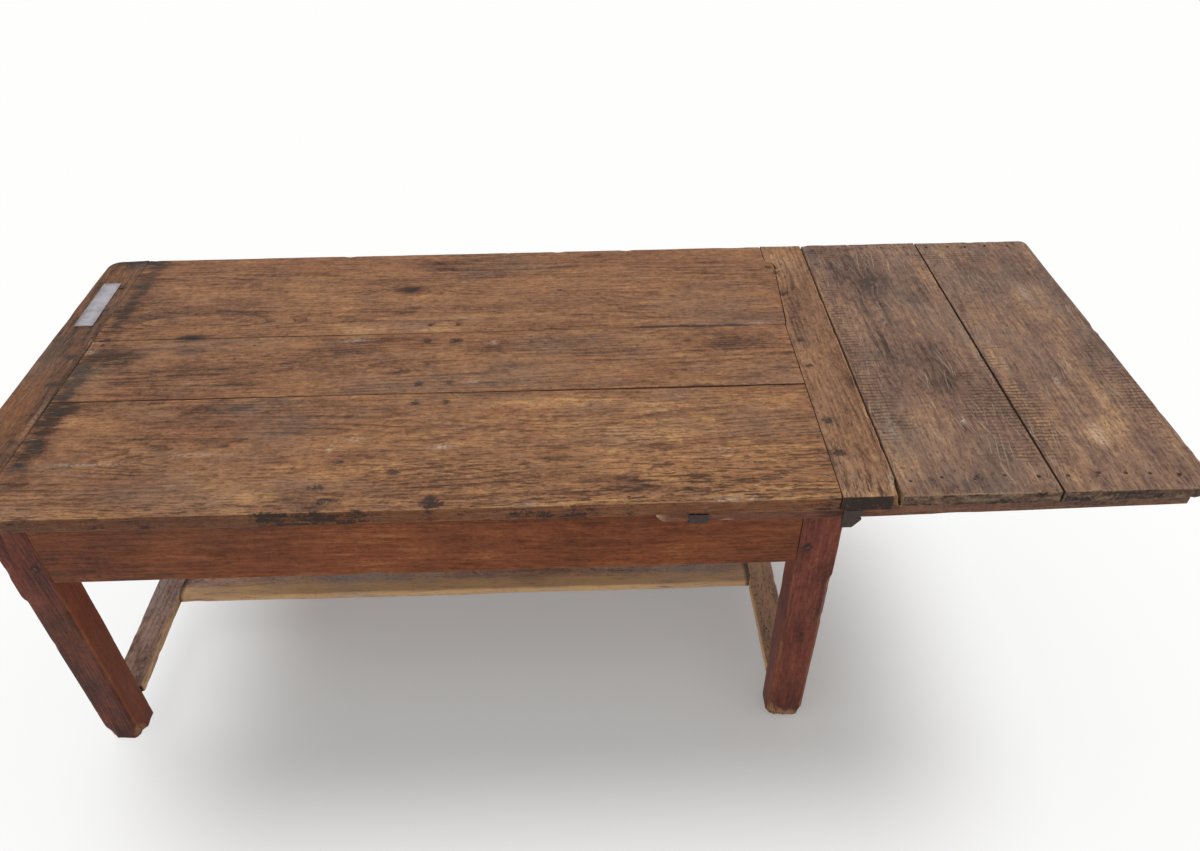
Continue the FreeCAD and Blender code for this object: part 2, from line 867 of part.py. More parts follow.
KEEPER_OUTLINE = (
    # Seen from the end: flange against the leg or apron, foot under the arm, lip in front of it.
    ("0", "0"),
    ("keeper_thickness", "0"),
    ("keeper_thickness", "keeper_drop"),
    ("keeper_reach", "keeper_drop"),
    ("keeper_reach", "keeper_lip_top"),
    ("keeper_lip_inside", "keeper_lip_top"),
    ("keeper_lip_inside", "keeper_foot_top"),
    ("0", "keeper_foot_top"),
)


def make_keeper(side, place_name):
    name = f"keeper_{side}_{place_name}"
    strip = profile_body(name + "_strip", "YZ_Plane", KEEPER_OUTLINE, "keeper_width", False)
    left = keeper_left(place_name)
    start = left
    if side == "front":
        strip.Placement = FreeCAD.Placement(FreeCAD.Vector(), FreeCAD.Rotation(FreeCAD.Vector(0, 0, 1), 180))
        start = f"{left} + keeper_width"
    place(strip, (start, on_side(side, "overhang"), "keeper_base"))
    cuts = []
    for index, head in enumerate(keeper_nail_heads(side, place_name)):
        cuts.append(nail_hole(f"{name}_nail_hole_{index}", head, inward(side), KEEPER_NAIL_LENGTH))
    if place_name == "outer":
        # The flange stops at the leg's outer face.
        cuts.append(
            box(
                name + "_flange_end",
                (
                    f"{left} + outer_keeper_lap",
                    on_side(side, "overhang - keeper_thickness", "keeper_thickness"),
                    "keeper_base - cut_margin",
                ),
                ("keeper_width", "keeper_thickness", "keeper_drop + cut_margin"),
            )
        )
    sub_part(name, carve(name, strip, cuts))


def make_keeper_nails():
    nails = [
        nail(f"keeper_nail_{side}_{place_name}_{index}", head, inward(side), KEEPER_NAIL_LENGTH)
        for side in SIDES
        for place_name in ("inner", "outer")
        for index, head in enumerate(keeper_nail_heads(side, place_name))
    ]
    sub_part("keeper_nails", group("keeper_nails", nails))


def all_leaf_nail_heads():
    return [head for side in SIDES for head in leaf_nail_heads(side)]


def make_leaf_board(place_name):
    name = f"leaf_board_{place_name}"
    left = "leaf_left" if place_name == "inner" else "leaf_outer_left"
    width = f"leaf_{place_name}_width"
    blank = box(
        name + "_blank",
        (left, "top_front", "leaf_underside"),
        (width, "top_width", "leaf_thickness"),
    )
    heads = all_leaf_nail_heads()
    holes = [
        nail_hole(f"{name}_nail_hole_{index}", head, "-z", LEAF_NAIL_LENGTH)
        for index, head in enumerate(heads)
    ]
    recesses = [nail_recess(f"{name}_nail_recess_{index}", head, "-z") for index, head in enumerate(heads)]
    if place_name == "outer":
        for side, sign in (("front", -1), ("rear", 1)):
            holes.append(
                round_corner(
                    f"{name}_{side}_corner", "leaf_right", f"top_{side}", 1, sign,
                    f"leaf_{side}_corner_radius", "leaf_underside", "leaf_thickness",
                )
            )
    sub_part(name, carve(name, carve(name + "_drilled", blank, holes), recesses))


ARM_OUTLINE = (
    # Seen from the front, from the bevelled tip under the top to the outer end under the leaf.
    ("arm_tip_bevel", "arm_tip_rise"),
    ("0", "arm_nose_height"),
    ("0", "arm_tongue_height"),
    ("arm_step", "arm_tongue_height"),
    ("arm_step", "arm_shoulder_height"),
    ("arm_length", "arm_shoulder_height"),
    ("arm_length", "arm_end_height"),
    ("arm_fulcrum", "0"),
)


def make_leaf_arm(side):
    name = f"leaf_arm_{side}"
    batten = profile_body(name + "_batten", "XZ_Plane", ARM_OUTLINE, "arm_width", True)
    place(batten, ("arm_tip", on_side(side, "arm_setback", "arm_width"), "arm_bottom"))
    waste_depth = "arm_width - arm_tongue_depth + cut_margin"
    waste = box(
        name + "_waste",
        (
            "arm_tip - cut_margin",
            on_side(side, "arm_setback + arm_tongue_depth", waste_depth),
            "arm_bottom - cut_margin",
        ),
        (
            "arm_reach - leg_inset + arm_shoulder_gap + cut_margin",
            waste_depth,
            "arm_tongue_height + 2 * cut_margin",
        ),
    )
    holes = [
        nail_hole(f"{name}_nail_hole_{index}", head, "-z", LEAF_NAIL_LENGTH)
        for index, head in enumerate(leaf_nail_heads(side))
    ]
    sub_part(name, carve(name, batten, [waste, *holes]))


def make_leaf_nails():
    nails = [
        nail(f"leaf_nail_{index}", head, "-z", LEAF_NAIL_LENGTH)
        for index, head in enumerate(all_leaf_nail_heads())
    ]
    sub_part("leaf_nails", group("leaf_nails", nails))


def check_and_write():
    document.recompute()
    failed = [
        piece.Name for piece in document.Objects if "Invalid" in piece.State or "Error" in piece.State
    ]
    if failed:
        raise RuntimeError(f"these did not rebuild: {failed}")
    for piece in sub_parts:
        if piece.Shape.isNull() or not piece.Shape.isValid() or not piece.Shape.Solids:
            raise RuntimeError(f"{piece.Label} has no valid solid")
    os.makedirs("parts", exist_ok=True)
    for piece in sub_parts:
        piece.Shape.exportStep(f"parts/{piece.Label}.step")
        print(f"{piece.Label}: {len(piece.Shape.Solids)} solids, {piece.Shape.Volume / 1000:.1f} cm3")


fill_sheet()
for table_side in SIDES:
    for table_end in ENDS:
        make_leg(table_side, table_end)
    make_long_apron(table_side)
for table_end in ENDS:
    make_end_apron(table_end)
    make_end_stretcher(table_end)
    make_breadboard(table_end)
make_long_stretcher()
for board_place in TOP_BOARDS:
    make_top_board(board_place)
for joint_place in LOOSE_TENON_JOINTS:
    make_loose_tenon(joint_place)
make_pegs()
make_top_nails()
for table_side in SIDES:
    for keeper_place in ("inner", "outer"):
        make_keeper(table_side, keeper_place)
make_keeper_nails()
for board_place in ("inner", "outer"):
    make_leaf_board(board_place)
for table_side in SIDES:
    make_leaf_arm(table_side)
make_leaf_nails()
check_and_write()
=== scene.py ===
import math
from functools import partial
import bpy
import numpy as np
from mathutils import Matrix, Vector


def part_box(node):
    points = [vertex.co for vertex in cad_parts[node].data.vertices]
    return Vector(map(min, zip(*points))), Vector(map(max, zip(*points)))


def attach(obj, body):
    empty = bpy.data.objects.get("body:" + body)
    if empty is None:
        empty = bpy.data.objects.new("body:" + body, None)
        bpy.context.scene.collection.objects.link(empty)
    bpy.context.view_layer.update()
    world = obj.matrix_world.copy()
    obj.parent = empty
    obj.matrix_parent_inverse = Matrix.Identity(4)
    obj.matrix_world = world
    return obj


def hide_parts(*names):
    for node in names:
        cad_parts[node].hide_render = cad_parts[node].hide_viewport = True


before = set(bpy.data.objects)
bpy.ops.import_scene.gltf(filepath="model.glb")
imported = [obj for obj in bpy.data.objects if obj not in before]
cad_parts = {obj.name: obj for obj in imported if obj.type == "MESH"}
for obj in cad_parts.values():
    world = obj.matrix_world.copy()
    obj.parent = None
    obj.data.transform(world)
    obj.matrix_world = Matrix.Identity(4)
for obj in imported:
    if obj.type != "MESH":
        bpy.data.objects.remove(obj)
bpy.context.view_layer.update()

print("frame loaded,", len(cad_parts), "nodes")


# small helpers

# an sRGB code turned to linear colour
def linear(code):
    parts = [int(code[i:i + 2], 16) / 255 for i in (0, 2, 4)]
    return [p / 12.92 if p < 0.04045 else ((p + 0.055) / 1.055) ** 2.4 for p in parts] + [1]


# short names of nodes: Blender's name, the setting that follows the colon, sockets in order, output
nodeKinds = {
    "math": ("ShaderNodeMath", "operation", (0, 1, 2), 0),
    "vector": ("ShaderNodeVectorMath", "operation", (0, 1, 2), 0),
    "mapping": ("ShaderNodeMapping", "", ("Vector", "Location", "Rotation", "Scale"), 0),
    "noise": ("ShaderNodeTexNoise", "", ("Vector", "Scale", "Detail", "Roughness"), "Fac"),
    "range": ("ShaderNodeMapRange", "interpolation_type",
              ("Value", "From Min", "From Max", "To Min", "To Max"), "Result"),
    "mix": ("ShaderNodeMix", "data_type", (0, 6, 7), 2),
    "ramp": ("ShaderNodeValToRGB", "", ("Fac",), "Color"),
    "attribute": ("ShaderNodeAttribute", "attribute_name", (), "Fac"),
    "coordinate": ("ShaderNodeTexCoord", "", (), "Object"),
    "bump": ("ShaderNodeBump", "", ("Strength", "Distance"), "Normal")}


# one node with its settings and links; a short name gives back its output, a full name the node
def addNode(tree, kind, *inputs, sockets=None, out=None, **settings):
    short, _, choice = kind.partition(":")
    name, word, order, result = nodeKinds.get(short, (short, "", (), None))
    node = tree.nodes.new(name)
    if choice:
        settings[word] = choice
    for key, value in settings.items():
        if key != "stops":
            setattr(node, key, value)
            continue
        while len(node.color_ramp.elements) < len(value):
            node.color_ramp.elements.new(0.5)
        for element, (position, code) in zip(node.color_ramp.elements, value):
            element.position = position
            element.color = linear(code)
    for key, value in [*zip(order, inputs), *(sockets or {}).items()]:
        if isinstance(value, bpy.types.NodeSocket):
            tree.links.new(value, node.inputs[key])
        else:
            node.inputs[key].default_value = value
    result = result if out is None else out
    return node if result is None else node.outputs[result]


def newMaterial(name):
    material = bpy.data.materials.new(name)
    material.use_nodes = True
    material.node_tree.nodes.clear()
    return material


def cadBoxOf(node):
    low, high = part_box(node)
    return np.array(low), np.array(high)


# boxes of the separate solids inside one CAD node
def solidBoxes(node):
    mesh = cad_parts[node].data
    mesh.calc_loop_triangles()
    spots = np.array([v.co for v in mesh.vertices])
    tris = np.array([t.vertices for t in mesh.loop_triangles])
    keys, where = np.unique(np.round(spots, 6), axis=0, return_inverse=True)
    faces = where.reshape(-1)[tris]
    label = np.arange(len(keys))
    while True:
        lowest = label[faces].min(axis=1)
        fresh = label.copy()
        np.minimum.at(fresh, faces.reshape(-1), np.repeat(lowest, 3))
        fresh = fresh[fresh]
        if (fresh == label).all():
            break
        label = fresh
    return [(keys[label == k].min(axis=0), keys[label == k].max(axis=0)) for k in np.unique(label)]


# smooth lumps, about -1 to 1; size is metres, one number or one for each axis
def lumps(points, size, seed):
    grid = points / np.asarray(size) + seed * 17.31
    cell = np.floor(grid).astype(np.int64)
    part = grid - cell
    part = part * part * (3 - 2 * part)
    total = np.zeros(len(points))
    for corner in range(8):
        offset = np.array([corner & 1, (corner >> 1) & 1, (corner >> 2) & 1])
        key = (cell + offset) @ np.array([73856093, 19349663, 83492791])
        key = (key ^ (key >> 13)) * 1274126177
        value = ((key ^ (key >> 16)) & 65535) / 32767.5 - 1
        total += value * np.prod(np.where(offset, part, 1 - part), axis=1)
    return total


def smooth(value, start, end):
    t = np.clip((value - start) / (end - start), 0, 1)
    return t * t * (3 - 2 * t)


def giveAttribute(mesh, name, values):
    layer = mesh.attributes.new(name, "FLOAT", "POINT")
    layer.data.foreach_set("value", np.ascontiguousarray(values, dtype=np.float32))


def finishPiece(name, mesh, material, body, nodes):
    mesh.materials.clear()
    mesh.materials.append(material)
    piece = bpy.data.objects.new(name, mesh)
    bpy.context.scene.collection.objects.link(piece)
    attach(piece, body)
    if nodes:
        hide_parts(*nodes)
    return piece


# materials

# old oak: fibres, dark pore dashes and flecks along the grain, streaks, blotches, pits,
# worn arrises, dirt with painted shade, and stains
def oak(name, look):
    material = newMaterial(name)
    add = partial(addNode, material.node_tree)

    def alongGrain(amount):
        scale = [1.0, 1.0, 1.0]
        scale["xyz".index(look["grain"])] = amount
        return scale

    board = add("attribute:board")   # each board has its own piece of the pattern
    shift = add("vector:SCALE", (3.7, 5.3, 2.9), sockets={"Scale": board})
    local = add("vector:ADD", add("coordinate"), shift)
    sway = add("mapping", local, sockets={"Scale": alongGrain(0.4)})
    sway = add("noise", sway, 3.0, 1.0, out="Color")
    sway = add("vector:SUBTRACT", sway, (0.5, 0.5, 0.5))
    swayed = add("vector:MULTIPLY_ADD", sway, (look["sway"],) * 3, local)

    # noises drawn out along the grain: on what, squeeze along it, size in metres, detail, roughness
    noises = {
        "fibre": (swayed, 0.08, look["fibre"], 8, 0.74), "broad": (swayed, 0.09, look["broad"], 7, 0.68),
        "blotch": (local, 0.55, look["blotch"], 9, 0.68), "gleam": (swayed, 0.33, look["gleam"], 9, 0.7),
        "nap": (swayed, 0.85, look["nap"], 5, 0.8), "flecks": (swayed, 0.36, look["fleck"], 3, 0.65),
        "hairs": (swayed, 0.06, look["dash"] * 0.8, 3, 0.65),
        "pores": (swayed, 0.13, look["dash"], 4, 0.7), "flow": (local, 0.1, 0.16, 2, 0.5),
        "ringPatches": (local, 0.4, 0.08, 4, 0.6), "greying": (local, 0.5, 0.21, 6, 0.65),
        "redding": (local, 0.3, 0.13, 6, 0.65)}
    for key, (vector, squeeze, size, detail, rough) in noises.items():
        drawn = add("mapping", vector, sockets={"Scale": alongGrain(squeeze)})
        noises[key] = add("noise", drawn, 1 / size, detail, rough)
    coarse = add("noise", local, 1 / 0.007, 5, 0.7)

    # each of these is cut to a mask between two grey levels
    masks = {"flecks": (0.57, 0.63), "hairs": (0.57, 0.68), "ringPatches": (0.36, 0.62),
             "greying": (0.48, 0.68), "redding": (0.52, 0.68)}
    for key, (start, end) in masks.items():
        masks[key] = add("range:SMOOTHSTEP", noises[key], start, end)

    # growth rings, wider apart than real ones so that they show; they bend round the painted figure
    ringPlace = add("vector:DOT_PRODUCT", swayed, alongGrain(0.0), out="Value")
    ringCount = add("math:MULTIPLY_ADD", noises["flow"], look["ringBend"], add("attribute:figure"))
    ringCount = add("math:MULTIPLY_ADD", ringPlace, 1 / look["ring"], ringCount)
    rings = add("range:SMOOTHSTEP", add("math:FRACT", ringCount), 0.35, 0.95)
    rings = add("math:MULTIPLY", rings, masks["ringPatches"])

    # grey level from dark to light, then the colours of the ramp
    layers = ("fibre", "broad", "blotch", "gleam", "nap")
    level = add("math:MULTIPLY", rings, -look["ringAmount"])
    for key in layers:
        level = add("math:ADD", level, add("math:MULTIPLY", noises[key], look[key + "Amount"]))
    middle = 0.5 + 0.2 * look["ringAmount"] - 0.5 * sum(look[key + "Amount"] for key in layers)
    level = add("math:ADD", level, middle)
    level = add("math:MULTIPLY_ADD", add("attribute:tone"), look["toneStep"], level)
    eroded = add("attribute:eroded")
    level = add("math:MULTIPLY_ADD", eroded, 0.1, level)
    colour = add("ramp", level, stops=look["stops"])

    # greyed dust in some places, reddish wax in others, and reddish painted light on lit sides; coats are
    # laid over each other in this order
    redding = add("math:MULTIPLY", masks["redding"], look["red"])
    coats = [(add("math:MULTIPLY", masks["greying"], look["grey"]), "greyColour"),
             (add("math:MULTIPLY_ADD", add("attribute:waxed"), 0.5, redding), "redColour"),
             (add("math:MULTIPLY", masks["hairs"], look["hair"]), "hairColour")]

    # open pores, deeper where the surface is eroded
    dashes = add("math:MULTIPLY_ADD", eroded, 0.035, noises["pores"])
    dashes = add("range:SMOOTHSTEP", dashes, 0.555, 0.63)
    deep = add("math:MULTIPLY_ADD", eroded, 0.45, look["dashDark"])
    dashes = add("math:MULTIPLY", dashes, deep, use_clamp=True)
    openGrain = add("math:MAXIMUM", dashes, add("math:MULTIPLY", masks["flecks"], look["fleckDark"]))
    coats.append((openGrain, "dark"))

    # pits and old worm holes: a dark dot in a few of the cells
    pitPlace = add("mapping", local, sockets={"Scale": alongGrain(0.6)})
    cells = add("ShaderNodeTexVoronoi", sockets={"Vector": pitPlace, "Scale": 1 / 0.03}).outputs
    chosen = add("math:GREATER_THAN", cells["Color"], 1 - look["pits"])
    dots = add("math:MULTIPLY", add("range:SMOOTHSTEP", cells["Distance"], 0.1, 0.06), chosen)
    coats.append((add("math:MULTIPLY", dots, 0.85), "dark"))
    height = add("math:SUBTRACT", noises["fibre"], add("math:MULTIPLY", openGrain, 0.8))
    height = add("math:SUBTRACT", height, dots)

    # comb of saw marks across the grain
    if look["saw"]:
        comb = add("ShaderNodeTexWave", bands_direction=look["grain"].upper(), out="Fac", sockets={
            "Vector": local, "Scale": 0.314 / look["sawPitch"], "Distortion": 4.5, "Detail": 5.0,
            "Detail Scale": 1.2, "Detail Roughness": 0.7})
        ragged = add("noise", local, 1 / 0.03, 5, 0.7)
        where = add("math:MULTIPLY_ADD", ragged, 1.8, add("attribute:sawn"))
        where = add("range:SMOOTHSTEP", where, 1.2, 1.75)
        marks = add("math:MULTIPLY", add("range:SMOOTHSTEP", comb, 0.5, 0.9), where)
        coats.append((add("math:MULTIPLY", marks, look["saw"]), "dark"))
        height = add("math:SUBTRACT", height, marks)

    # thin knife scratches, two sets at small angles to the grain
    for turn, seed in ((0.16, 0.0), (-0.22, 4.0)) if look["scratch"] else ():
        turned = add("mapping", local, (seed, seed, 0), (0, 0, turn))
        thin = add("mapping", turned, sockets={"Scale": alongGrain(0.03)})
        lines = add("noise", thin, 1 / 0.0034, 1, 0.4)
        lines = add("range:SMOOTHSTEP", lines, look["scratchFrom"], look["scratchFrom"] + 0.07)
        where = add("range:SMOOTHSTEP", add("noise", local, 1 / 0.07, 3, 0.6), 0.44, 0.6)
        lines = add("math:MULTIPLY", lines, where)
        coats.append((add("math:MULTIPLY", lines, look["scratch"]), "scuff"))
        height = add("math:SUBTRACT", height, add("math:MULTIPLY", lines, 0.5))

    # end grain, worn wood, dirt with painted shade, and scuffs with painted reflection, all painted on
    # the mesh: name, noise, two levels, amount, colour
    painted = (("endGrain", coarse, 0.35, 0.6, look["endAmount"], "endColour"),
               ("wear", noises["fibre"], 0.3, 0.55, look["wear"], "bare"),
               ("grime", coarse, 0.1, 0.5, 1.0, "dirt"), ("scuff", coarse, 0.4, 0.58, 0.8, "chalk"))
    for label, texture, start, end, amount, shade in painted:
        mask = add("range:SMOOTHSTEP", texture, start, end)
        mask = add("math:MULTIPLY", add("attribute:" + label), mask, use_clamp=True)
        coats.append((add("math:MULTIPLY", mask, amount), shade))

    # ragged iron stains
    stain = add("attribute:stain")
    ragged = add("math:ADD", noises["nap"], add("math:ADD", noises["fibre"], coarse))
    ragged = add("math:MULTIPLY_ADD", ragged, 1.9, stain)
    inky = add("math:MULTIPLY", stain, 2.0, use_clamp=True)
    inky = add("math:MULTIPLY", add("range:SMOOTHSTEP", ragged, 3.12, 3.62), inky)
    coats.append((add("math:MULTIPLY", inky, 0.85), "stainColour"))

    for mask, shade in coats:
        colour = add("mix:RGBA", mask, colour, linear(look[shade]))
    roughness = add("range", noises["blotch"], 0.3, 0.7, *look["rough"])
    bump = add("bump", look["bump"], look["relief"], sockets={"Height": height})
    shader = add("ShaderNodeBsdfPrincipled", out=0, sockets={
        "Base Color": colour, "Roughness": roughness, "Normal": bump, "Specular IOR Level": 0.13})
    add("ShaderNodeOutputMaterial", sockets={"Surface": shader})
    return material


oakLook = {
    "grain": "x", "sway": 0.016, "fibre": 0.0048, "broad": 0.02, "blotch": 0.13, "gleam": 0.05,
    "nap": 0.013, "dash": 0.0052, "fleck": 0.0052, "dashDark": 0.3, "fleckDark": 0.46, "hair": 0.25,
    "hairColour": "b38a60", "fibreAmount": 1.0, "broadAmount": 0.85, "blotchAmount": 0.95,
    "gleamAmount": 0.75, "napAmount": 1.15, "ring": 0.015, "ringBend": 16.0, "ringAmount": 0.28,
    "scratchFrom": 0.66, "stops": [(0.0, "392416"), (0.25, "694630"), (0.5, "8a6043"), (0.75, "a1744e"),
                                   (1.0, "bf9060")],
    "grey": 0.3, "greyColour": "7c6a5e", "red": 0.3, "redColour": "865339", "dark": "3d291d",
    "pits": 0.12, "saw": 0.0, "sawPitch": 0.005, "scratch": 0.25, "scuff": "b79f8a", "endAmount": 0.7,
    "endColour": "4a382d", "wear": 0.85, "bare": "c99a69", "chalk": "c9b6a3", "dirt": "2b1d15",
    "rough": (0.5, 0.72), "bump": 0.7, "relief": 0.0018, "toneStep": 0.26, "stainColour": "2a2423"}

# waxed golden-brown oak of the top, with grey smudges and gold streaks
topOak = oak("waxed_oak_top", oakLook)
# the end cleats: the same oak with the grain across the table, redder at the left end
cleatLook = {**oakLook, "grain": "y", "red": 0.5, "redColour": "80502f",
             "stops": [(0.0, "2f1e13"), (0.25, "553827"), (0.5, "6e4a32"), (0.75, "855c3d"),
                       (1.0, "a67a50")]}
leftCleatOak = oak("waxed_oak_left_cleat", cleatLook)
rightCleatOak = oak("waxed_oak_right_cleat", {
    **cleatLook, "red": 0.2, "pits": 0.3, "hair": 0.15,
    "stops": [(0.0, "3f2b1c"), (0.25, "6d4c37"), (0.5, "8a6349"), (0.75, "a17856"), (1.0, "c09666")]})
# greyer, drier leaf boards with saw combs and knife scratches
leafOak = oak("dry_oak_leaf", {
    **oakLook, "grain": "y", "stops": [
        (0.0, "3a2c25"), (0.25, "634b40"), (0.5, "806252"), (0.75, "9a785d"), (1.0, "b9916a")],
    "grey": 0.4, "greyColour": "75675d", "red": 0.15, "redColour": "7f5a44", "saw": 0.62,
    "sawPitch": 0.0105, "scratch": 0.4, "scuff": "b5a18c", "endColour": "463a31", "bare": "a8896a",
    "rough": (0.55, 0.78), "fibreAmount": 1.1, "blotchAmount": 0.9, "gleamAmount": 0.7,
    "napAmount": 1.05, "hairColour": "ab8a63", "scratchFrom": 0.632, "ringAmount": 0.2})
# dark red-brown waxed oak of the legs, rails and arms
frameLook = {
    **oakLook, "stops": [(0.0, "2e180f"), (0.25, "562c1c"), (0.5, "743f26"), (0.75, "8a5030"),
                         (1.0, "a56b43")],
    "grey": 0.2, "greyColour": "66503f", "red": 0.35, "redColour": "75402a", "dark": "2c1a13",
    "scratch": 0.15, "scuff": "94735c", "bare": "93654a", "dirt": "231510", "endColour": "3b2820",
    "rough": (0.45, 0.65), "fibreAmount": 0.9, "broadAmount": 0.8, "blotchAmount": 1.25,
    "gleamAmount": 0.75, "napAmount": 0.65, "hair": 0.15,
    "pits": 0.06, "hairColour": "92603f", "dashDark": 0.35, "fleckDark": 0.3, "ring": 0.012,
    "ringAmount": 0.18}
railOakLong = oak("red_oak_long_rail", frameLook)
railOakCross = oak("red_oak_cross_rail", {**frameLook, "grain": "y"})
legOak = oak("red_oak_leg", {
    **frameLook, "grain": "z", "red": 0.25, "redColour": "7c3d22",
    "stops": [(0.0, "2c1914"), (0.25, "522a21"), (0.5, "703b2f"), (0.75, "884a38"), (1.0, "aa6a49")],
    "bare": "b98c63", "wear": 0.9})
# the leaf's arms: the same wood, browner and rubbed smooth
armOak = oak("brown_oak_arm", {
    **frameLook, "red": 0.2,
    "stops": [(0.0, "2f1c15"), (0.25, "503126"), (0.5, "6a4435"), (0.75, "805641"), (1.0, "a07452")],
    "bare": "bb987a", "wear": 0.85})
# grey-brown stretchers, rubbed golden by feet along the upper edges; their colours are paler than the
# wood, as painted light for the shade under the table
stretcherLook = {
    **oakLook, "stops": [(0.0, "4f3d2f"), (0.25, "8c6e5f"), (0.5, "ad8a7c"), (0.75, "c59f8c"),
                         (1.0, "dfb28e")],
    "grey": 0.7, "greyColour": "a29ba0", "red": 0.3, "redColour": "8e5f45", "wear": 0.95,
    "bare": "f4c690", "chalk": "d6c9c3", "scratch": 0.2, "blotchAmount": 1.6,
    "endColour": "40342d", "rough": (0.55, 0.75)}
stretcherOakLong = oak("foot_worn_oak_long", stretcherLook)
stretcherOakCross = oak("foot_worn_oak_cross", {**stretcherLook, "grain": "y"})
# dark end grain of the pegs
pegOak = oak("oak_peg", {
    **oakLook, "grain": "z", "stops": [
        (0.0, "2a1d17"), (0.3, "4a3427"), (0.5, "5d4332"), (0.7, "71533d"), (1.0, "8b6a4e")],
    "fibre": 0.0016, "grey": 0.1, "scratch": 0.0, "bump": 0.35, "ringAmount": 0.0})


# forge-black iron with thin brown rust and a dull hammered shine
def forgedIron(name, look):
    material = newMaterial(name)
    add = partial(addNode, material.node_tree)
    place = add("coordinate")
    scale = add("noise", place, 1 / 0.0028, 5, 0.65)
    rust = add("range:SMOOTHSTEP", add("noise", place, 1 / 0.009, 5, 0.7), 0.47, 0.66)
    hammer = add("ShaderNodeTexVoronoi", feature="SMOOTH_F1", out="Distance", sockets={
        "Vector": place, "Scale": 1 / 0.007})
    colour = add("ramp", scale, stops=[(0.25, look["black"]), (0.55, look["mid"]), (0.8, look["light"])])
    colour = add("mix:RGBA", add("math:MULTIPLY", rust, look["rust"]), colour, linear(look["rustColour"]))
    roughness = add("range", rust, sockets={"To Min": 0.48, "To Max": 0.85})
    height = add("math:ADD", hammer, add("math:MULTIPLY", scale, 0.4))
    bump = add("bump", 0.5, 0.0008, sockets={"Height": height})
    shader = add("ShaderNodeBsdfPrincipled", out=0, sockets={
        "Base Color": colour, "Roughness": roughness, "Metallic": 0.55, "Normal": bump})
    add("ShaderNodeOutputMaterial", sockets={"Surface": shader})
    return material


wroughtIron = forgedIron("wrought_iron", {
    "black": "262120", "mid": "3f332f", "light": "5c4c46", "rust": 0.65, "rustColour": "563629"})


# matt grey-lilac paper, soiled along its edges
def tagPaper(name, look):
    material = newMaterial(name)
    add = partial(addNode, material.node_tree)
    place = add("coordinate")
    fibres = add("noise", place, 1 / 0.0012, 4, 0.7)
    soil = add("noise", place, 1 / 0.03, 4, 0.6)
    colour = add("ramp", soil, stops=[(0.3, look["soiled"]), (0.5, look["paper"]), (0.75, look["pale"])])
    flecks = add("math:MULTIPLY", add("range:SMOOTHSTEP", fibres, 0.55, 0.75), 0.25)
    colour = add("mix:RGBA", flecks, colour, linear(look["soiled"]))
    colour = add("mix:RGBA", add("attribute:grime"), colour, linear(look["edge"]))
    bump = add("bump", 0.3, 0.0003, sockets={"Height": fibres})
    shader = add("ShaderNodeBsdfPrincipled", out=0, sockets={
        "Base Color": colour, "Roughness": 0.85, "Specular IOR Level": 0.2, "Normal": bump})
    add("ShaderNodeOutputMaterial", sockets={"Surface": shader})
    return material


paper = tagPaper("tag_paper", {"soiled": "847d80", "paper": "a5a0a6", "pale": "b7b2b8", "edge": "6f6566"})
print("materials ready")


# worn timber blocks

# places along one axis: close together at both ends, even between
def stations(low, high, step, rim, fine):
    near = rim * np.array([0, 0.28, 0.6, 1.0, 1.6])
    count = max(2, int(round((high - low - 2 * near[-1]) / step)) + 1)
    parts = [low + near, np.linspace(low + near[-1], high - near[-1], count), high - near]
    for start, end, gap in fine:
        parts.append(np.arange(max(start, low + near[-1]), min(end, high - near[-1]), gap))
    return np.unique(np.round(np.concatenate(parts), 5))


# outer skin of a lattice of points, each point once
def shell(axes):
    counts = [len(a) for a in axes]
    skin = np.zeros(counts, bool)
    for axis in range(3):
        view = np.moveaxis(skin, axis, 0)
        view[0] = True
        view[-1] = True
    index = np.full(counts, -1)
    index[skin] = np.arange(skin.sum())
    points = np.stack(np.meshgrid(*axes, indexing="ij"), -1)[skin]
    quads = []
    for axis in range(3):
        for end in (0, -1):
            layer = np.take(index, end, axis=axis)
            corners = [layer[:-1, :-1], layer[1:, :-1], layer[1:, 1:], layer[:-1, 1:]]
            quad = np.stack(corners, -1).reshape(-1, 4)
            quads.append(quad if (end == -1) != (axis == 1) else quad[:, ::-1])
    return points, np.concatenate(quads)


plainTimber = {
    "grain": 0, "step": (0.008, 0.007, 0.007), "rim": 0.006, "fine": ((), (), ()), "edge": 0.003,
    "edgeVary": 0.5, "sides": {}, "wave": 0.0005, "waveSize": 0.25, "ripple": 0.00018,
    "rippleSize": 0.014, "nicks": 0, "nickSize": (0.003, 0.008), "dents": 0, "dentSize": (0.008, 0.02),
    "chips": (), "chamfer": None,
    # sides that meet another board, each with its dirt
    "jointSides": {}, "wearEdge": 1.0, "seed": 1, "board": 0.0}


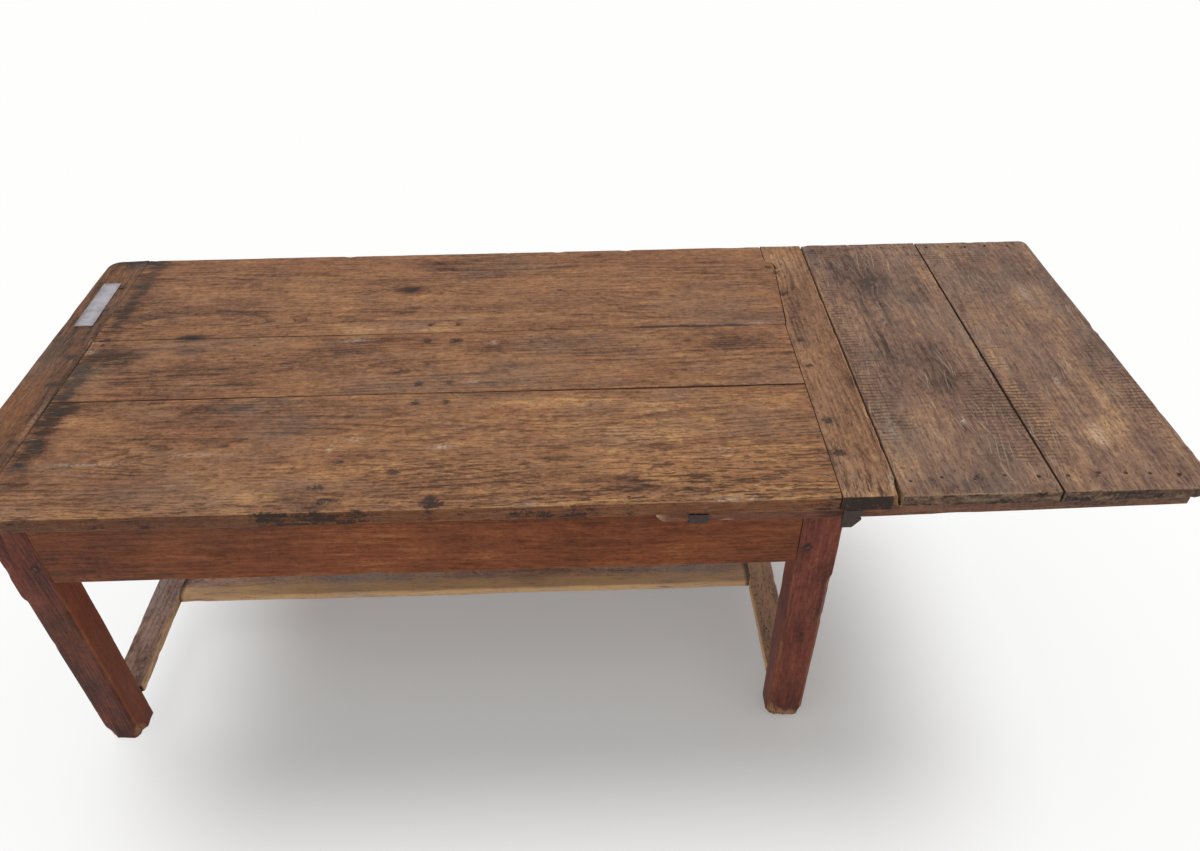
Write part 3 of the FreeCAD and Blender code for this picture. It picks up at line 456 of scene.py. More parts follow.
def wornTimber(name, low, high, look, material, body, nodes, limits=None, warp=None, paint=None):
    look = {**plainTimber, **look}
    low, high = np.array(low, float), np.array(high, float)
    random = np.random.default_rng(look["seed"])
    axes = [stations(low[i], high[i], look["step"][i], look["rim"], look["fine"][i]) for i in range(3)]
    points, quads = shell(axes)
    flat = points.copy()
    lowAt, highAt = np.tile(low, (len(points), 1)), np.tile(high, (len(points), 1))
    if limits:
        points, lowAt, highAt = limits(points, lowAt, highAt)
    grain = np.ones(3)
    grain[look["grain"]] = 5.0

    # radius of the worn edges, with its own value near some sides
    radius = np.full(len(points), look["edge"])
    calm = np.ones(len(points)) * min(1, look["edge"] / 0.003)
    for side, value in look["sides"].items():
        axis, end = "xyz".index(side[0]), int(side[1])
        gap = np.abs(points[:, axis] - (highAt if end else lowAt)[:, axis])
        calm = np.where(gap < 0.012, min(1, value / 0.003), calm)   # tight joints stay straight
        radius += np.exp(-(gap / 0.012) ** 2) * (value - look["edge"])
    radius *= 1 + calm * look["edgeVary"] * lumps(points, 0.035 * grain, look["seed"])
    radius *= 1 + 0.5 * calm * look["edgeVary"] * lumps(points, 0.009 * grain, look["seed"] + 3)
    radius = np.clip(radius, 0.0005, 0.48 * (highAt - lowAt).min(axis=1))
    core = np.clip(points, lowAt + radius[:, None], highAt - radius[:, None])
    facing = points - core
    facing /= np.maximum(np.linalg.norm(facing, axis=1), 1e-9)[:, None]
    points = core + facing * radius[:, None]
    edgeness = np.clip((1 - np.abs(facing).max(axis=1)) / 0.29, 0, 1)

    # stopped chamfers along the upright edges of a leg
    if look["chamfer"]:
        size, stop = look["chamfer"]
        reach = size * (1 - smooth(points[:, 2], stop - 0.018, stop + 0.004))
        reach *= 1 + 0.2 * lumps(points, (0.05, 0.05, 0.12), look["seed"] + 5)
        gapX = np.minimum(points[:, 0] - low[0], high[0] - points[:, 0])
        gapY = np.minimum(points[:, 1] - low[1], high[1] - points[:, 1])
        cut = np.clip(reach - gapX - gapY, 0, None) / 2
        points[:, 0] += cut * np.sign((low[0] + high[0]) / 2 - points[:, 0])
        points[:, 1] += cut * np.sign((low[1] + high[1]) / 2 - points[:, 1])
        edgeness = np.maximum(edgeness, np.clip(cut / size * 2.2, 0, 1))

    # hand-planed waves, ripples along the grain
    lift = look["wave"] * (lumps(flat, look["waveSize"] * np.sqrt(grain), look["seed"] + 7) - 0.5)
    lift += look["ripple"] * (lumps(flat, look["rippleSize"] * grain * 1.6, look["seed"] + 9) - 0.5)
    points += facing * lift[:, None]

    # chips: random ones along the arrises, shallow dents, and the ones given by place
    bare = np.zeros(len(points))
    clear = edgeness > 0.6
    for side in look["jointSides"]:   # no chips along a joint
        clear &= facing[:, "xyz".index(side[0])] * (1 if side[1] == "1" else -1) < 0.2
    arris = np.flatnonzero(clear)
    faces = np.flatnonzero(edgeness < 0.05)
    bites = []
    for _ in range(look["nicks"] if len(arris) else 0):
        size = random.uniform(*look["nickSize"])
        bites.append((points[random.choice(arris)], size, size * random.uniform(0.12, 0.28),
                      random.uniform(0.2, 0.9)))
    for _ in range(look["dents"]):
        size = random.uniform(*look["dentSize"])
        bites.append((points[random.choice(faces)], size, size * random.uniform(0.04, 0.09), 0.0))
    for chip in look["chips"]:
        bites.append((np.array(chip[:3]), chip[3], chip[4], chip[5]))
    for centre, size, depth, fresh in bites:
        span = np.ones(3)
        span[look["grain"]] = 2.2
        away = np.linalg.norm((points - centre) / (size * span), axis=1)
        bite = np.clip(1 - away ** 2, 0, 1) ** 0.8
        points -= facing * (bite * depth)[:, None]
        bare = np.maximum(bare, bite * fresh)
    if warp:
        points = warp(points)

    mesh = bpy.data.meshes.new(name)
    mesh.from_pydata(points.tolist(), [], quads.tolist())
    mesh.update()
    mesh.shade_smooth()
    patch = np.clip(0.55 + 0.8 * lumps(flat, 0.03 * grain, look["seed"] + 11), 0, 1)
    wear = np.clip(edgeness * patch * look["wearEdge"] + bare, 0, 1)
    grime = np.zeros(len(points))
    for side, dirt in look["jointSides"].items():
        axis, end = "xyz".index(side[0]), int(side[1])
        toward = facing[:, axis] * (1 if end else -1)
        grime = np.maximum(grime, dirt * smooth(toward, 0.35, 0.8))
        wear *= 1 - smooth(toward, 0.05, 0.3)
    endGrain = np.abs(facing[:, look["grain"]])
    clean = ("stain", "eroded", "sawn", "scuff", "waxed", "figure")
    coat = {label: np.zeros(len(points)) for label in clean}
    coat.update({"tone": 0.25 * lumps(flat, 0.4, look["seed"] + 13), "grime": grime, "wear": wear,
                 "endGrain": smooth(endGrain, 0.6, 0.95), "board": np.full(len(points), look["board"])})
    if paint:
        paint(points, facing, coat)
    for label, values in coat.items():
        giveAttribute(mesh, label, values)
    return finishPiece(name, mesh, material, body, nodes)


# soft spots painted from a list: x and y in mm from the top's front left corner
def spots(points, places, rough=1.0):
    low = cadBoxOf("breadboard_left")[0]
    total = np.zeros(len(points))
    rag = 0.45 * lumps(points, (0.05, 0.02, 0.05), 31) + 0.3 * lumps(points, (0.018, 0.008, 0.02), 32)
    rag = 1 + rough * rag
    for x, y, reachX, reachY, amount in places:
        gapX = (points[:, 0] - low[0] - x / 1000) / (reachX / 1000)
        gapY = (points[:, 1] - low[1] - y / 1000) / (reachY / 1000)
        total += amount * np.exp(-(gapX ** 2 + gapY ** 2) * rag * rag)
    return total


# square corner turned round, seen from above
def roundCorner(points, corner, radius):
    inX = (points[:, 0] - corner[0]) * corner[2] + radius
    inY = (points[:, 1] - corner[1]) * corner[3] + radius
    inside = (inX > 0) & (inY > 0)
    longest = np.maximum(inX, inY)
    length = np.hypot(inX, inY)
    factor = np.where(inside, longest / np.maximum(length, 1e-9), 1)
    points = points.copy()
    points[:, 0] = np.where(inside, corner[0] + corner[2] * (inX * factor - radius), points[:, 0])
    points[:, 1] = np.where(inside, corner[1] + corner[3] * (inY * factor - radius), points[:, 1])
    return points


# the top: three boards and two cleats

topMarks = {
    # light and dark patches: x, y, reach along x, reach along y (mm), amount
    "tone": [
        (80, 926, 85, 24, -1.9), (128, 880, 20, 90, -1.5), (128, 700, 17, 90, -1.4),
        (126, 434, 22, 80, -1.4), (126, 230, 22, 130, -1.5), (110, 520, 45, 420, -0.6),
        (157, 520, 44, 36, -1.9), (205, 516, 40, 22, -1.2), (321, 570, 26, 12, -2.0),
        (331, 522, 28, 12, -1.2), (225, 408, 40, 16, -0.9), (262, 465, 60, 18, 0.5),
        (122, 314, 30, 22, -1.2), (176, 279, 30, 14, 0.7), (461, 313, 140, 12, -0.8),
        (579, 45, 60, 16, 1.2), (665, 29, 40, 14, -1.0), (792, 762, 34, 18, -2.4),
        (847, 886, 60, 26, -1.7), (789, 658, 50, 18, -1.3), (700, 590, 60, 22, 1.6),
        (320, 440, 220, 80, -0.6), (330, 200, 260, 110, -0.35), (300, 600, 340, 420, -0.22),
        (800, 800, 320, 120, -0.12), (1400, 150, 280, 130, 0.35), (1740, 150, 50, 150, -0.35),
        (50, 450, 50, 500, -0.35), (350, 750, 160, 90, -0.2), (860, 592, 70, 24, 1.6),
        (780, 552, 60, 14, -1.3), (698, 510, 60, 16, -0.9), (1051, 305, 160, 18, 0.7),
        (1185, 309, 120, 20, 0.7), (753, 90, 120, 18, 0.6), (687, 54, 50, 16, -0.8),
        (730, 12, 70, 10, -0.8), (1359, 285, 130, 20, 0.6), (1556, 512, 70, 40, -0.7),
        (1411, 404, 70, 18, -0.8), (300, 760, 160, 60, 0.5), (560, 720, 200, 40, 0.4),
        (1150, 760, 260, 60, 0.25), (1080, 640, 220, 26, 0.5), (420, 180, 260, 26, 0.45),
        (980, 60, 300, 18, -0.5), (1500, 60, 160, 18, -0.6), (560, 250, 220, 30, -0.4),
        (1300, 200, 200, 30, 0.4)],
    # how many rings the grain swerves by: the flame at the front left, knots and eyes
    "figure": [
        (470, 152, 200, 34, 5.0), (792, 762, 90, 30, -4.0), (1150, 250, 260, 40, 3.0),
        (900, 470, 240, 36, -3.5), (1440, 690, 220, 40, 3.5), (360, 640, 180, 30, 3.0),
        (1240, 90, 200, 26, -2.5), (732, 120, 70, 22, 3.0)],
    # coarse open grain
    "eroded": [(1500, 90, 260, 60, 0.8), (900, 110, 200, 40, 0.7), (1250, 250, 200, 40, 0.5),
               (1560, 430, 160, 40, 0.6), (1350, 120, 300, 90, 0.7), (1000, 210, 250, 50, 0.5),
               (1480, 300, 150, 60, 0.6)],
    # pale scuffs
    "scuff": [
        (922, 172, 20, 5, 1.0), (753, 201, 16, 6, 0.8), (709, 174, 4, 10, 0.8), (973, 382, 14, 5, 0.7),
        (1004, 528, 10, 6, 0.6), (692, 550, 24, 4, 0.5), (1473, 139, 20, 4, 0.5), (102, 567, 12, 5, 0.7),
        (110, 529, 14, 8, 0.6), (89, 285, 3, 70, 0.45), (254, 147, 70, 2, 0.6), (463, 166, 60, 2, 0.6),
        (365, 402, 14, 4, 0.5), (1461, 4, 30, 6, 0.9), (1100, 4, 14, 5, 0.7), (1610, 580, 40, 3, 0.6),
        (1768, 20, 4, 30, 0.8)],
    # black iron and water stains
    "stain": [
        (128, 906, 20, 7, 0.6), (128, 804, 22, 7, 0.65), (130, 727, 20, 6, 0.6), (130, 628, 22, 7, 0.65),
        (128, 579, 20, 6, 0.5), (125, 450, 24, 7, 0.6), (124, 363, 24, 8, 0.65), (130, 273, 22, 7, 0.6),
        (128, 203, 24, 8, 0.65), (124, 149, 20, 9, 0.8), (321, 574, 22, 6, 0.9), (157, 526, 20, 8, 0.5),
        (792, 762, 18, 9, 1.0), (732, 135, 18, 9, 0.7), (837, 106, 15, 7, 1.0), (922, 16, 19, 12, 1.5),
        (918, 34, 9, 10, 1.0),
        (625, 0, 34, 9, 0.6), (700, 0, 50, 9, 0.65), (790, 0, 50, 9, 0.5), (399, 0, 24, 9, 0.35),
        (200, 0, 60, 9, 0.35), (322, 0, 16, 9, 0.45), (1091, 0, 40, 9, 0.4), (1190, 0, 40, 9, 0.5),
        (1283, 0, 20, 9, 0.45), (100, 934, 60, 9, 0.5), (1677, 833, 13, 9, 1.2), (1696, 638, 5, 6, 1.0),
        (1688, 598, 5, 6, 1.0), (1716, 588, 5, 6, 1.0), (1721, 561, 5, 6, 1.0), (1672, 382, 14, 10, 0.5),
        (1656, 62, 20, 14, 0.5), (1660, 176, 9, 7, 0.9), (1653, 135, 9, 7, 0.8), (1370, 576, 80, 5, 1.0),
        (1470, 576, 60, 5, 0.9), (1560, 576, 70, 4, 0.8), (1439, 515, 14, 7, 0.8),
        (1421, 406, 22, 9, 0.6), (1154, 746, 12, 7, 0.8), (1611, 532, 30, 9, 0.5),
        (702, 64, 22, 12, 0.7), (732, 30, 34, 10, 0.75), (50, 930, 50, 14, 0.5), (1646, 4, 30, 10, 0.5),
        (122, 314, 16, 10, 0.5)]}


# black specks strewn along the row of nails
strewn = np.random.default_rng(5)
for _ in range(60):
    topMarks["stain"].append((strewn.normal(128, 12), strewn.uniform(120, 930), strewn.uniform(4, 11),
                              strewn.uniform(2.5, 5), strewn.uniform(0.35, 0.75)))


# dark rings round the peg ends
for low, high in solidBoxes("tenon_pegs") + solidBoxes("breadboard_pegs"):
    spot = (low + high) / 2 - cadBoxOf("breadboard_left")[0]
    topMarks["stain"].append((spot[0] * 1000, spot[1] * 1000, 15, 11, 0.85))


def paintTop(points, facing, coat):
    upward = smooth(facing[:, 2], 0.1, 0.5)
    under = smooth(-facing[:, 2], 0.3, 0.9)
    edge = smooth(np.abs(facing[:, 1]), 0.45, 0.8) * (1 - under)
    # painted shade on the underside; the edges darker
    coat["tone"] += spots(points, topMarks["tone"]) * upward - 0.8 * edge - 0.8 * under
    coat["stain"] = np.clip(spots(points, topMarks["stain"]), 0, 1) * np.maximum(upward, edge)
    coat["waxed"] = edge
    coat["figure"] = spots(points, topMarks["figure"], 0.15) * upward
    dashes = smooth(lumps(points, (0.03, 0.02, 0.005), 93), 0.2, 0.7)
    coat["stain"] = np.clip(coat["stain"] + 0.45 * dashes * edge, 0, 1)
    arris = smooth(-facing[:, 1], 0.2, 0.4) * smooth(facing[:, 2], 0.45, 0.7)
    arris *= points[:, 0] < rightLow[0]
    rightArris = smooth(facing[:, 0], 0.25, 0.5) * smooth(facing[:, 2], 0.25, 0.5)
    arris += rightArris * (points[:, 0] > rightHigh[0] - 0.02)
    coat["wear"] = np.maximum(coat["wear"], arris * (0.75 + 0.4 * lumps(points, (0.06, 0.04, 0.02), 94)))
    coat["scuff"] = np.clip(spots(points, topMarks["scuff"]), 0, 1) * upward
    front = points[:, 1] - leftLow[1]
    openGrain = np.clip(spots(points, topMarks["eroded"]), 0, 1)
    coat["eroded"] = (np.exp(-(front / 0.06) ** 2) + openGrain) * upward
    blackEnd = edge * smooth(points[:, 0], rightLow[0] - 0.01, rightLow[0] + 0.01)
    blackEnd *= smooth(-points[:, 1], 0.4, 0.46)
    blackEnd *= 1 - smooth(points[:, 0], rightHigh[0] - 0.016, rightHigh[0] - 0.008)
    coat["stain"] = np.clip(coat["stain"] + blackEnd, 0, 1)
    leftPart = 1 - smooth(points[:, 0], -0.6, -0.4)
    # painted shade on the underside; grime on the edge faces, more at the left end
    coat["grime"] = np.maximum(coat["grime"], 0.35 * under + edge * (0.15 + 0.2 * leftPart))


topTimber = {
    "frontBoard": {"step": (0.008, 0.0065, 0.007), "edge": 0.0006, "sides": {"y0": 0.0034, "y1": 0.0019},
                   "nicks": 20, "dents": 26, "wave": 0.0011,
                   "jointSides": {"y1": 0.8, "x0": 0.05, "x1": 0.5}, "seed": 21, "board": 0.0,
                   "chips": ((0.3, -0.47, 0.75, 0.012, 0.006, 0.9),
                             (-0.22, -0.47, 0.75, 0.016, 0.005, 0.3))},
    "middleBoard": {"step": (0.009, 0.0075, 0.009), "edge": 0.0006, "sides": {"y0": 0.0019}, "dents": 18,
                    "wave": 0.001, "jointSides": {"y0": 0.8, "y1": 0.6, "x0": 0.05, "x1": 0.5},
                    "seed": 22, "board": 1.0, "nicks": 8},
    "rearBoard": {"step": (0.008, 0.0065, 0.007), "edge": 0.0006, "sides": {"y1": 0.0045}, "nicks": 14,
                  "dents": 24, "wave": 0.0011, "jointSides": {"y0": 0.6, "x0": 0.05, "x1": 0.5},
                  "seed": 23, "board": 2.0},
    "leftCleat": {"grain": 1, "step": (0.006, 0.0085, 0.007), "edge": 0.0035, "sides": {"x1": 0.0006},
                  "nicks": 5, "dents": 10, "wave": 0.0008, "jointSides": {"x1": 0.05}, "seed": 24,
                  "board": 3.0, "fine": (((-1.1823, -1.14, 0.003),),
                                         ((-0.47, -0.43, 0.003), (0.43, 0.47, 0.003)), ())},
    "rightCleat": {"grain": 1, "step": (0.006, 0.0085, 0.007), "edge": 0.003,
                   "sides": {"x0": 0.0006, "y0": 0.0036}, "nicks": 14, "dents": 14, "wave": 0.0009,
                   "jointSides": {"x0": 0.35}, "seed": 25, "board": 4.0,
                   "chips": ((0.5927, -0.47, 0.75, 0.022, 0.007, 1.0),
                             (0.49, 0.363, 0.75, 0.006, 0.006, 0.0))},
    # the rear board's end runs out over the right cleat: place from the front (mm), shift along x (mm)
    "slant": ((0, 0), (561, 0), (594, 5), (832, 21), (853, 21), (862, 2), (940, 2)), "slantReach": 0.06,
    "leftCorner": 0.034}

leftLow, leftHigh = cadBoxOf("breadboard_left")
rightLow, rightHigh = cadBoxOf("breadboard_right")
topGap = 0.00015


def slantAt(points):
    table = np.array(topTimber["slant"]) / 1000
    return np.interp(points[:, 1] - leftLow[1], table[:, 0], table[:, 1])


def slantBoard(points):
    points = points.copy()
    start = rightLow[0] - topTimber["slantReach"]
    points[:, 0] += slantAt(points) * smooth(points[:, 0], start, rightLow[0] - 0.002)
    return points


def slantCleat(points):
    points = points.copy()
    points[:, 0] += slantAt(points) * (1 - smooth(points[:, 0], rightLow[0] + 0.002, rightLow[0] + 0.07))
    return points


def roundLeftEnd(points):
    for y, sign in ((leftLow[1], -1), (leftHigh[1], 1)):
        points = roundCorner(points, (leftLow[0], y, -1, sign), topTimber["leftCorner"])
    return points


def buildTop():
    for key, node in (("frontBoard", "top_board_front"), ("middleBoard", "top_board_middle"),
                      ("rearBoard", "top_board_rear")):
        low, high = cadBoxOf(node)
        low[0], high[0] = leftHigh[0] + topGap, rightLow[0] - topGap
        if key == "rearBoard":
            low[1] = cadBoxOf("top_board_middle")[1][1] + topGap
        wornTimber(key, low, high, topTimber[key], topOak, "table", (node,),
                   warp=slantBoard if key == "rearBoard" else None, paint=paintTop)
    wornTimber("leftCleat", leftLow, leftHigh, topTimber["leftCleat"], leftCleatOak, "table",
               ("breadboard_left",), warp=roundLeftEnd, paint=paintTop)
    wornTimber("rightCleat", rightLow, rightHigh, topTimber["rightCleat"], rightCleatOak, "table",
               ("breadboard_right",), warp=slantCleat, paint=paintTop)


buildTop()
print("top boards and cleats done")


# legs, rails and stretchers

legTimber = {"grain": 2, "step": (0.006, 0.006, 0.008), "rim": 0.009, "edge": 0.0028,
             "sides": {"z0": 0.011}, "nicks": 26, "nickSize": (0.003, 0.009), "dents": 14,
             "wave": 0.0012, "waveSize": 0.15, "chamfer": (0.0085, 0.5075), "wearEdge": 0.8}
footChips = {   # places from the leg's own low corner, in metres, then size, depth, bareness
    "leg_front_left": ((0.079, 0.0, 0.02, 0.016, 0.006, 0.8), (0.079, 0.01, 0.0, 0.02, 0.01, 0.7),
                       (0.0, 0.0, 0.01, 0.02, 0.01, 0.5), (0.079, 0.0, 0.05, 0.005, 0.002, 1.0),
                       (0.074, 0.0, 0.035, 0.004, 0.002, 1.0), (0.07, 0.0, 0.012, 0.006, 0.003, 1.0)),
    "leg_front_right": ((0.0, 0.0, 0.015, 0.024, 0.012, 1.0), (0.022, 0.0, 0.004, 0.02, 0.009, 1.0),
                        (0.05, 0.0, 0.006, 0.016, 0.006, 1.0), (0.0, 0.0, 0.05, 0.01, 0.003, 0.8),
                        (0.079, 0.0, 0.0, 0.02, 0.01, 0.6), (0.04, 0.0, 0.235, 0.004, 0.004, 0.0)),
    "leg_rear_left": ((0.0, 0.076, 0.0, 0.02, 0.01, 0.7),),
    "leg_rear_right": ((0.079, 0.076, 0.0, 0.02, 0.01, 0.7),)}


pegRing = 0.0075   # dark ring round a peg end, from the peg's middle
apronPegs = solidBoxes("apron_pegs")


def paintLeg(points, facing, coat):
    foot = 1 - smooth(points[:, 2], 0.0, 0.09)
    coat["tone"] += 0.75 * np.abs(facing[:, 0]) - 0.5 * foot - 0.2   # painted light: sides lighter than the fronts
    coat["grime"] = np.maximum(coat["grime"], 0.5 * (1 - smooth(points[:, 2], 0.0, 0.012)))
    coat["tone"] -= 0.35 * (points[:, 0] < 0)
    coat["wear"] = np.clip(coat["wear"] * (0.3 + 0.7 * foot) + 0.35 * foot * (coat["wear"] > 0.2), 0, 1)
    for low, high in apronPegs:
        axis = int(np.argmax(high - low))
        gap = np.delete(points - (low + high) / 2, axis, axis=1)
        ring = 1 - smooth(np.linalg.norm(gap, axis=1), pegRing, pegRing + 0.005)
        reached = np.abs(points[:, axis] - (low + high)[axis] / 2) < (high - low)[axis]
        coat["stain"] = np.maximum(coat["stain"], ring * reached)
    inner = smooth(facing[:, 0], 0.5, 0.9) * (points[:, 0] < 0)   # painted highlight: the left legs' sides catch the light
    coat["waxed"] = 1.4 * inner
    coat["tone"] += 0.3 * inner


railTimber = {"step": (0.009, 0.006, 0.007), "edge": 0.0022, "nicks": 22, "nickSize": (0.003, 0.008),
              "dents": 16, "wave": 0.0013, "waveSize": 0.2}


def paintRail(points, facing, coat):
    high = cadBoxOf("apron_front")[1]
    middle = np.exp(-((points[:, 0] + 0.3) / 0.35) ** 2)
    shade = smooth(points[:, 2], high[2] - 0.05, high[2])    # painted shade under the overhang
    streaks = 0.4 * lumps(points, (0.2, 0.2, 0.04), 61)
    coat["tone"] += 0.5 * middle * np.abs(facing[:, 1]) + streaks - 0.7 * shade
    coat["tone"] -= 0.25 * smooth(points[:, 0], -0.1, 0.1) * (1 - smooth(points[:, 0], 0.12, 0.32))
    coat["grime"] = np.maximum(coat["grime"], 0.35 * shade)


stretcherTimber = {
    "long": {"step": (0.009, 0.007, 0.005), "edge": 0.003, "sides": {"y0": 0.0085, "y1": 0.007},
             "nicks": 16, "nickSize": (0.003, 0.008), "dents": 20, "wave": 0.0016, "waveSize": 0.22,
             "seed": 51, "board": 15.0},
    "left": {"grain": 1, "step": (0.006, 0.008, 0.005), "edge": 0.0035, "sides": {"x1": 0.007},
             "nicks": 24, "dents": 12, "wave": 0.0014, "seed": 52, "board": 16.0, "wearEdge": 1.1},
    "right": {"grain": 1, "step": (0.006, 0.008, 0.005), "edge": 0.0035, "sides": {"x0": 0.007},
              "nicks": 24, "dents": 12, "wave": 0.0014, "seed": 53, "board": 17.0, "wearEdge": 1.1}}
# the grey patches are a painted reflection on the upper faces, partly real wear, laid on as pale scuffs
stretcherMarks = {   # x and y in metres in the table's frame
    "grey": ((-0.75, -0.03, 0.06, 0.04, 0.35), (-0.62, -0.03, 0.05, 0.05, 0.6),
             (-0.53, -0.02, 0.05, 0.05, 0.9), (-0.39, -0.01, 0.04, 0.05, 0.8),
             (0.26, 0.0, 0.14, 0.08, 0.75)), "pale": 1.15,
    "into": 0.008}


def paintStretcher(points, facing, coat):
    under = smooth(-facing[:, 2], 0.2, 0.8)
    coat["tone"] += stretcherMarks["pale"] * smooth(points[:, 0], -1.0, -0.6)
    leftEnd = 1 - smooth(points[:, 0], -1.02, -0.98)
    coat["tone"] += 0.8 * smooth(points[:, 0], 0.38, 0.42) - 0.75 * leftEnd
    # painted reflection, partly wear: pale grey patches on the upper faces
    for x, y, reachX, reachY, amount in stretcherMarks["grey"]:
        gap = ((points[:, 0] - x) / reachX) ** 2 + ((points[:, 1] - y) / reachY) ** 2
        coat["scuff"] += amount * np.exp(-gap) * smooth(facing[:, 2], 0.1, 0.5)
    # painted shade on the undersides
    coat["tone"] -= 0.9 * under
    coat["grime"] = np.maximum(coat["grime"], 0.4 * under)
    middle = (leftLow[0] + rightHigh[0]) / 2
    isLong = np.ptp(points[:, 0]) > 0.5
    rubbed = -facing[:, 1] if isLong else facing[:, 0] * np.sign(middle - points[:, 0])
    coat["wear"] = np.maximum(coat["wear"], 0.75 * smooth(rubbed, 0.35, 0.8))
    if isLong:   # mottled gold strip along the front of its upper face
        coat["tone"] += 1.3 * np.exp(-((points[:, 0] + 0.75) / 0.22) ** 2)
        strip = 1 - smooth(points[:, 1] - points[:, 1].min(), 0.025, 0.05)
        mottled = 0.9 + 0.45 * lumps(points, (0.09, 0.02, 0.05), 95)
        coat["wear"] = np.maximum(coat["wear"], strip * mottled)
        ends = np.minimum(points[:, 0] - points[:, 0].min(), points[:, 0].max() - points[:, 0])
        coat["grime"] = np.maximum(coat["grime"], 0.8 * (1 - smooth(ends, 0.010, 0.013)))
    inner = np.exp(-((np.abs(points[:, 0] - middle) - 0.74) / 0.006) ** 2) * (facing[:, 2] > 0.8)
    coat["stain"] = np.clip(0.45 * inner * (not isLong), 0, 1)   # dirt line beside the rubbed edge


def buildFrame():
    for number, node in enumerate(footChips):
        low, high = cadBoxOf(node)
        chips = [(*(low + np.array(c[:3])), *c[3:]) for c in footChips[node]]
        wornTimber(node.replace("_", "."), low, high, {
            **legTimber, "seed": 31 + number, "board": 5.0 + number, "chips": chips},
            legOak, "table", (node,), paint=paintLeg)
    legs = {node.removeprefix("leg_"): cadBoxOf(node) for node in footChips}
    for number, node in enumerate(("apron_front", "apron_rear", "apron_left", "apron_right")):
        low, high = cadBoxOf(node)
        look = {**railTimber, "seed": 41 + number, "board": 10.0 + number}
        if number < 2:
            low[0], high[0] = legs["front_left"][1][0], legs["front_right"][0][0]
            look["jointSides"] = {"x0": 0.8, "x1": 0.8}
        else:
            low[1], high[1] = legs["front_left"][1][1], legs["rear_left"][0][1]
            look = {**look, "grain": 1, "step": (0.006, 0.009, 0.007),
                    "jointSides": {"y0": 0.8, "y1": 0.8}}
        wornTimber(node.replace("_", "."), low, high, look, railOakLong if number < 2 else railOakCross,
                   "table", (node,), paint=paintRail)
    low, high = cadBoxOf("stretcher_long")
    low[0] = cadBoxOf("stretcher_left")[1][0] - stretcherMarks["into"]
    high[0] = cadBoxOf("stretcher_right")[0][0] + stretcherMarks["into"]
    look = {**stretcherTimber["long"], "jointSides": {"x0": 0.8, "x1": 0.8}}
    wornTimber("stretcher.long", low, high, look, stretcherOakLong, "table", ("stretcher_long",),
               paint=paintStretcher)
    for key in ("left", "right"):
        low, high = cadBoxOf("stretcher_" + key)
        low[1], high[1] = legs["front_left"][1][1], legs["rear_left"][0][1]
        look = {**stretcherTimber[key], "jointSides": {"y0": 0.8, "y1": 0.8}}
        wornTimber("stretcher." + key, low, high, look, stretcherOakCross, "table", ("stretcher_" + key,),
                   paint=paintStretcher)


buildFrame()
print("legs, rails and stretchers done")


# leaf boards and arms

leafTimber = {
    "inner": {"grain": 1, "step": (0.0065, 0.0075, 0.006), "edge": 0.0032,
              "sides": {"x1": 0.0016, "y0": 0.0045}, "nicks": 16, "dents": 22, "wave": 0.0012,
              "jointSides": {"x1": 0.8}, "seed": 71, "board": 20.0,
              "chips": ((0.66, -0.47, 0.75, 0.012, 0.005, 0.9),
                        (0.853, -0.47, 0.745, 0.007, 0.012, 0.0))},
    "outer": {"grain": 1, "step": (0.0065, 0.0075, 0.006), "edge": 0.0035,
              "sides": {"x0": 0.0016, "y0": 0.0045}, "nicks": 18, "dents": 24, "wave": 0.0012,
              "jointSides": {"x0": 0.8}, "seed": 72, "board": 21.0,
              "fine": (((1.135, 1.1823, 0.004),), ((-0.47, -0.42, 0.004), (0.44, 0.47, 0.004)), ()),
              "chips": ((0.955, -0.47, 0.75, 0.014, 0.005, 0.9),)},
    "frontCorner": 0.045, "rearCorner": 0.02,
    "tone": [(1906, 782, 90, 130, -1.0), (1860, 800, 110, 140, -0.55), (2200, 400, 120, 160, 0.5),
             (2240, 130, 120, 90, 0.4), (1961, 437, 50, 90, -0.9), (1938, 329, 60, 60, -0.7),
             (1821, 141, 50, 90, 0.75), (1833, 541, 30, 90, 0.7), (1863, 479, 24, 60, -0.5),
             (2118, 822, 18, 80, 1.0), (2095, 412, 16, 110, 1.1), (2110, 320, 20, 60, -0.6),
             (2263, 231, 50, 70, 0.8), (2224, 170, 60, 50, 0.7), (2197, 318, 30, 60, -0.3),
             (2188, 770, 50, 60, -0.5), (2264, 695, 16, 60, 0.7), (2010, 900, 200, 40, 0.4),
             (1870, 16, 90, 24, -0.75), (2030, 14, 60, 20, -0.4)],
    "scuff": [(1958, 213, 6, 10, 1.0), (2204, 164, 10, 30, 0.7), (2198, 330, 4, 40, 0.6),
              (1896, 601, 3, 50, 0.6), (2111, 385, 4, 30, 0.5), (1808, 200, 10, 40, 0.4),
              (2264, 690, 10, 40, 0.5), (2060, 470, 3, 60, 0.5)],
    # combs left by the saw
    "sawn": [(1800, 560, 40, 330, 0.7), (1800, 250, 60, 140, 0.6), (2100, 230, 70, 180, 0.8),
             (2090, 640, 30, 200, 0.5), (2330, 300, 60, 230, 0.7), (2200, 860, 140, 50, 0.6),
             (1900, 880, 120, 40, 0.5), (2000, 200, 60, 160, 0.5)],
    "stain": [(2050, 910, 14, 10, 0.6), (2190, 910, 14, 10, 0.6), (1930, 45, 12, 14, 0.6),
              (2060, 45, 12, 14, 0.6), (2150, 45, 12, 14, 0.5), (1890, 910, 14, 10, 0.6),
              (1840, 42, 12, 12, 0.5)]}


